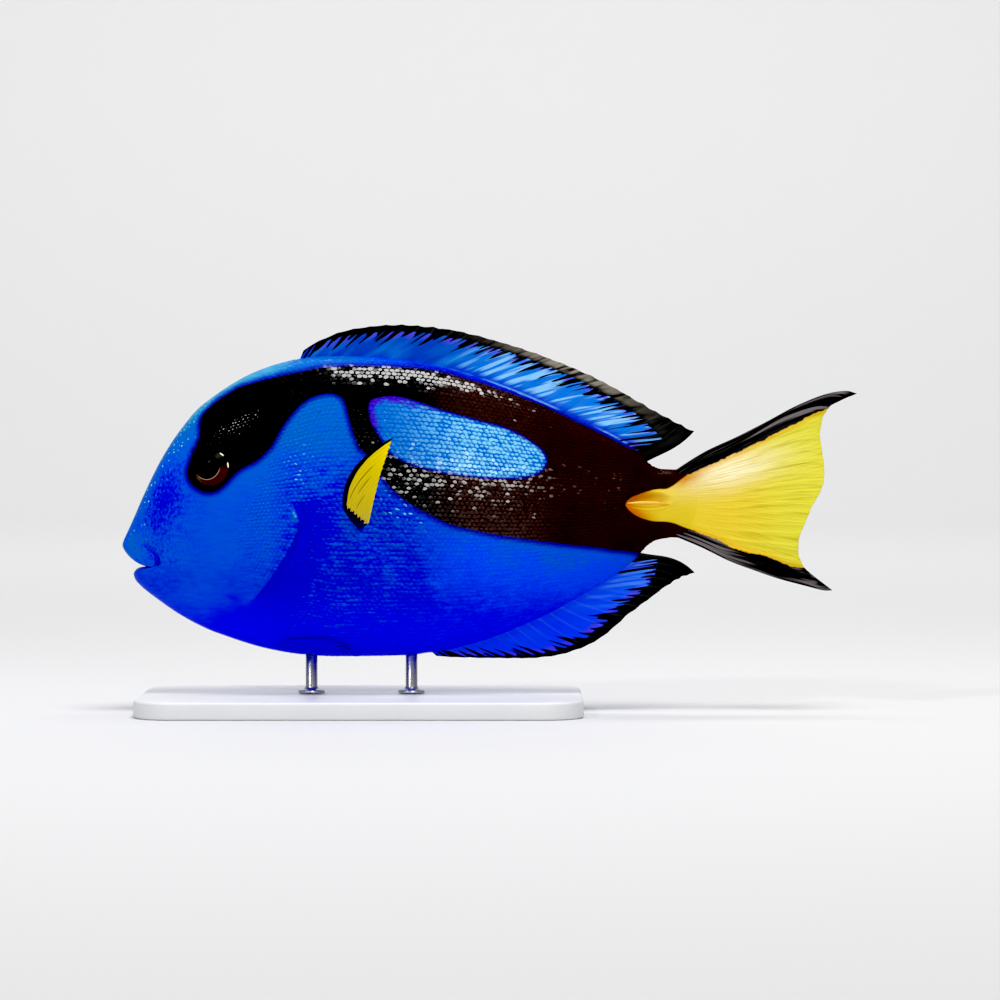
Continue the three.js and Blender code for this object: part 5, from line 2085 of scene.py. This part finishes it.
@dataclass(frozen=True)
class Studio:
    """The plain pale floor and wall, the soft lights and the camera.

    Attributes:
        aim: The place in the middle of the picture, [x, z] in fish millimetres.
        view_width: How much the picture shows across, at the fish.
        distance: From the camera to the fish.
        elevation: How far the camera looks down, in degrees.
        sensor: Width of the camera's sensor.
        toe: How the deepest shades are darkened, each [shade, darker shade].
    """

    aim: Pair = (128.1, 1.0)
    view_width: float = 340.0
    distance: float = 1300.0
    elevation: float = 1.2
    sensor: float = 36.0
    toe: tuple[Pair, ...] = ((0.018, 0.001), (0.055, 0.03), (0.14, 0.125), (0.4, 0.4))

    def camera(self) -> None:
        """Sets up the camera, level with the fish and looking at its left flank."""
        lens = bpy.data.cameras.new("camera")
        lens.sensor_width = self.sensor
        lens.lens = self.sensor * self.distance / self.view_width
        lens.clip_start, lens.clip_end = 0.05, 20
        view = add_object("camera", lens)
        tilt = math.radians(self.elevation)
        aim = FishFrame().shared([self.aim[0], 0, self.aim[1]])
        away = np.array([0, -math.cos(tilt), math.sin(tilt)]) * self.distance * MM
        view.location = Vector(aim + away)
        view.rotation_euler = (math.pi / 2 - tilt, 0, 0)
        bpy.context.scene.camera = view

    def light(self, name: str, spot: Triple, size: Pair, watts: float, aim: Triple = (0, 0, 0.06)) -> None:
        """Adds a soft panel light that faces a place."""
        lamp = bpy.data.lights.new(name, "AREA")
        lamp.shape = "RECTANGLE"
        lamp.size, lamp.size_y = size
        lamp.energy = watts
        held = add_object(name, lamp)
        held.location = spot
        held.rotation_euler = (Vector(aim) - Vector(spot)).to_track_quat("-Z", "Y").to_euler()

    def backdrop(self) -> None:
        """Adds a floor that curves up into a wall far behind."""
        depth, bend, height, half = 2.2, 0.9, 3.0, 4.5
        turn = np.linspace(0, math.pi / 2, 24)
        curve_y = depth + bend * np.sin(turn)
        curve_z = bend * (1 - np.cos(turn))
        line = [(-3.0, 0.0), *zip(curve_y, curve_z), (depth + bend, height)]
        points = [(x, y, z) for x in (-half, half) for y, z in line]
        count = len(line)
        faces = [[k, k + count, k + count + 1, k + 1] for k in range(count - 1)]
        mesh = bpy.data.meshes.new("floor")
        mesh.from_pydata(points, [], faces)
        mesh.shade_smooth()
        mesh.materials.append(PaperFinish().material())
        add_object("floor", mesh)

    def build(self) -> None:
        """Builds the whole studio."""
        scene = bpy.context.scene
        scene.view_settings.view_transform = "Standard"
        scene.view_settings.look = "None"
        scene.view_settings.use_curve_mapping = True
        toe = scene.view_settings.curve_mapping.curves[3].points
        for dark, darker in self.toe:
            toe.new(dark, darker)
        scene.view_settings.curve_mapping.update()
        world = bpy.data.worlds.new("studio_air")
        world.use_nodes = True
        world.node_tree.nodes["Background"].inputs["Color"].default_value = (1, 1, 1, 1)
        world.node_tree.nodes["Background"].inputs["Strength"].default_value = 0.3
        scene.world = world
        self.backdrop()
        self.light("top_panel", (0.1, -0.24, 1.06), (0.48, 0.38), 9)
        self.light("key_panel", (0.27, -1.35, 0.3), (0.34, 0.22), 3)
        self.light("side_panel", (-0.73, -0.88, 0.82), (0.12, 0.12), 3.8)
        self.light("wall_panel", (0, 1.0, 2.6), (3.0, 0.8), 61, (0, 3.1, 0.7))
        self.camera()


def build_fins(body: BodyForm) -> None:
    """Builds all the fins and dresses them.

    Args:
        body: The body that they grow from.
    """
    dorsal = MedianFin(
        "dorsal_fin_sheet", ("dorsal_fin",), "fin_blue", rays=28, spines=9, body=body,
        lean=(2.6, 8.5, 13, 16, 17.5, 18.2, 18.2), curl=2.2, per_ray=14,
        edge=(
            (57, 48), (62.8, 52.9), (68, 55.8), (77, 59), (91, 60.7), (105, 60), (121.3, 56.8),
            (141.7, 50.5), (162.1, 42), (182.5, 30.5), (194.2, 24.5),
        ),
    )
    anal = MedianFin(
        "anal_fin_sheet", ("anal_fin",), "fin_blue", rays=21, spines=3, body=body, up=-1, bow=2.2,
        base=(101.5, 173.5), lean=(5, 9, 13.5, 18, 21.5, 23.5, 20.9), per_ray=14,
        margin=(0.5, 1.0, 1.6, 2.6, 3.8, 5.5, 13.0), end_margin=0.8, rear=(0.5, 1.5), sheen=0.0, seed=11,
        edge=(
            (104, -51.7), (111, -52.5), (128.1, -52.9), (141.7, -52.7), (151.9, -50.9), (162.1, -46.3),
            (172.3, -37.8), (180.1, -31.9), (188, -26.4), (194.4, -23.8),
        ),
    )
    dorsal.build(FinFinish("dorsal_fin_skin"))
    anal.build(FinFinish(
        "anal_fin_skin", front=srgb(0, 62, 240), cloud=srgb(8, 76, 240), back=srgb(60, 130, 230),
        base=srgb(0, 76, 240),
    ))
    tail_nodes = ("tail_fin_upper_lobe", "tail_fin_web", "tail_fin_lower_lobe")
    tail = TailFin("tail_fin_sheet", tail_nodes, "yellow", rays=18, forks=(0.2, 0.5), rows=70, per_ray=12)
    tail.build(TailFinish())
    belly_blue = FinFinish(
        "pelvic_fin_skin", front=srgb(0, 6, 212), cloud=srgb(0, 10, 216), base=srgb(0, 4, 212),
    )
    for side in Side:
        pectoral = PectoralFin(
            f"pectoral_fin_sheet_{side.word}", (f"pectoral_fin_{side.word}",), "yellow", rays=16, spines=1,
            side=side,
        )
        pectoral.build(PectoralFinish())
        pelvic = PelvicFin(
            f"pelvic_fin_sheet_{side.word}", (f"pelvic_fin_{side.word}",), "fin_blue", rays=4, spines=1,
            side=side, body=body, root_ray=1.2,
        )
        pelvic.build(belly_blue)


def main() -> None:
    """Builds the studio, the fish and its stand, in that order."""
    logging.basicConfig(level=logging.INFO, format="%(name)s: %(message)s")
    Studio().build()
    body = BodyForm()
    skin = Skin(body)
    markings = Markings()
    skin.build(markings, SkinFinish("skin"))
    coat = ScaleCoat()
    for side in Side:
        coat.build(skin, side, markings, SkinFinish("scales", scaled=True))
        body.eye.build(body, side, EyeFinish(eye=body.eye))
        body.spine.build(body, side, SpineFinish())
    build_fins(body)
    stand = Stand()
    stand.plate(PaintFinish())
    for node in ("stand_rod_front", "stand_rod_rear"):
        stand.rod_up(node, SteelFinish())


if __name__ == "__main__":
    main()
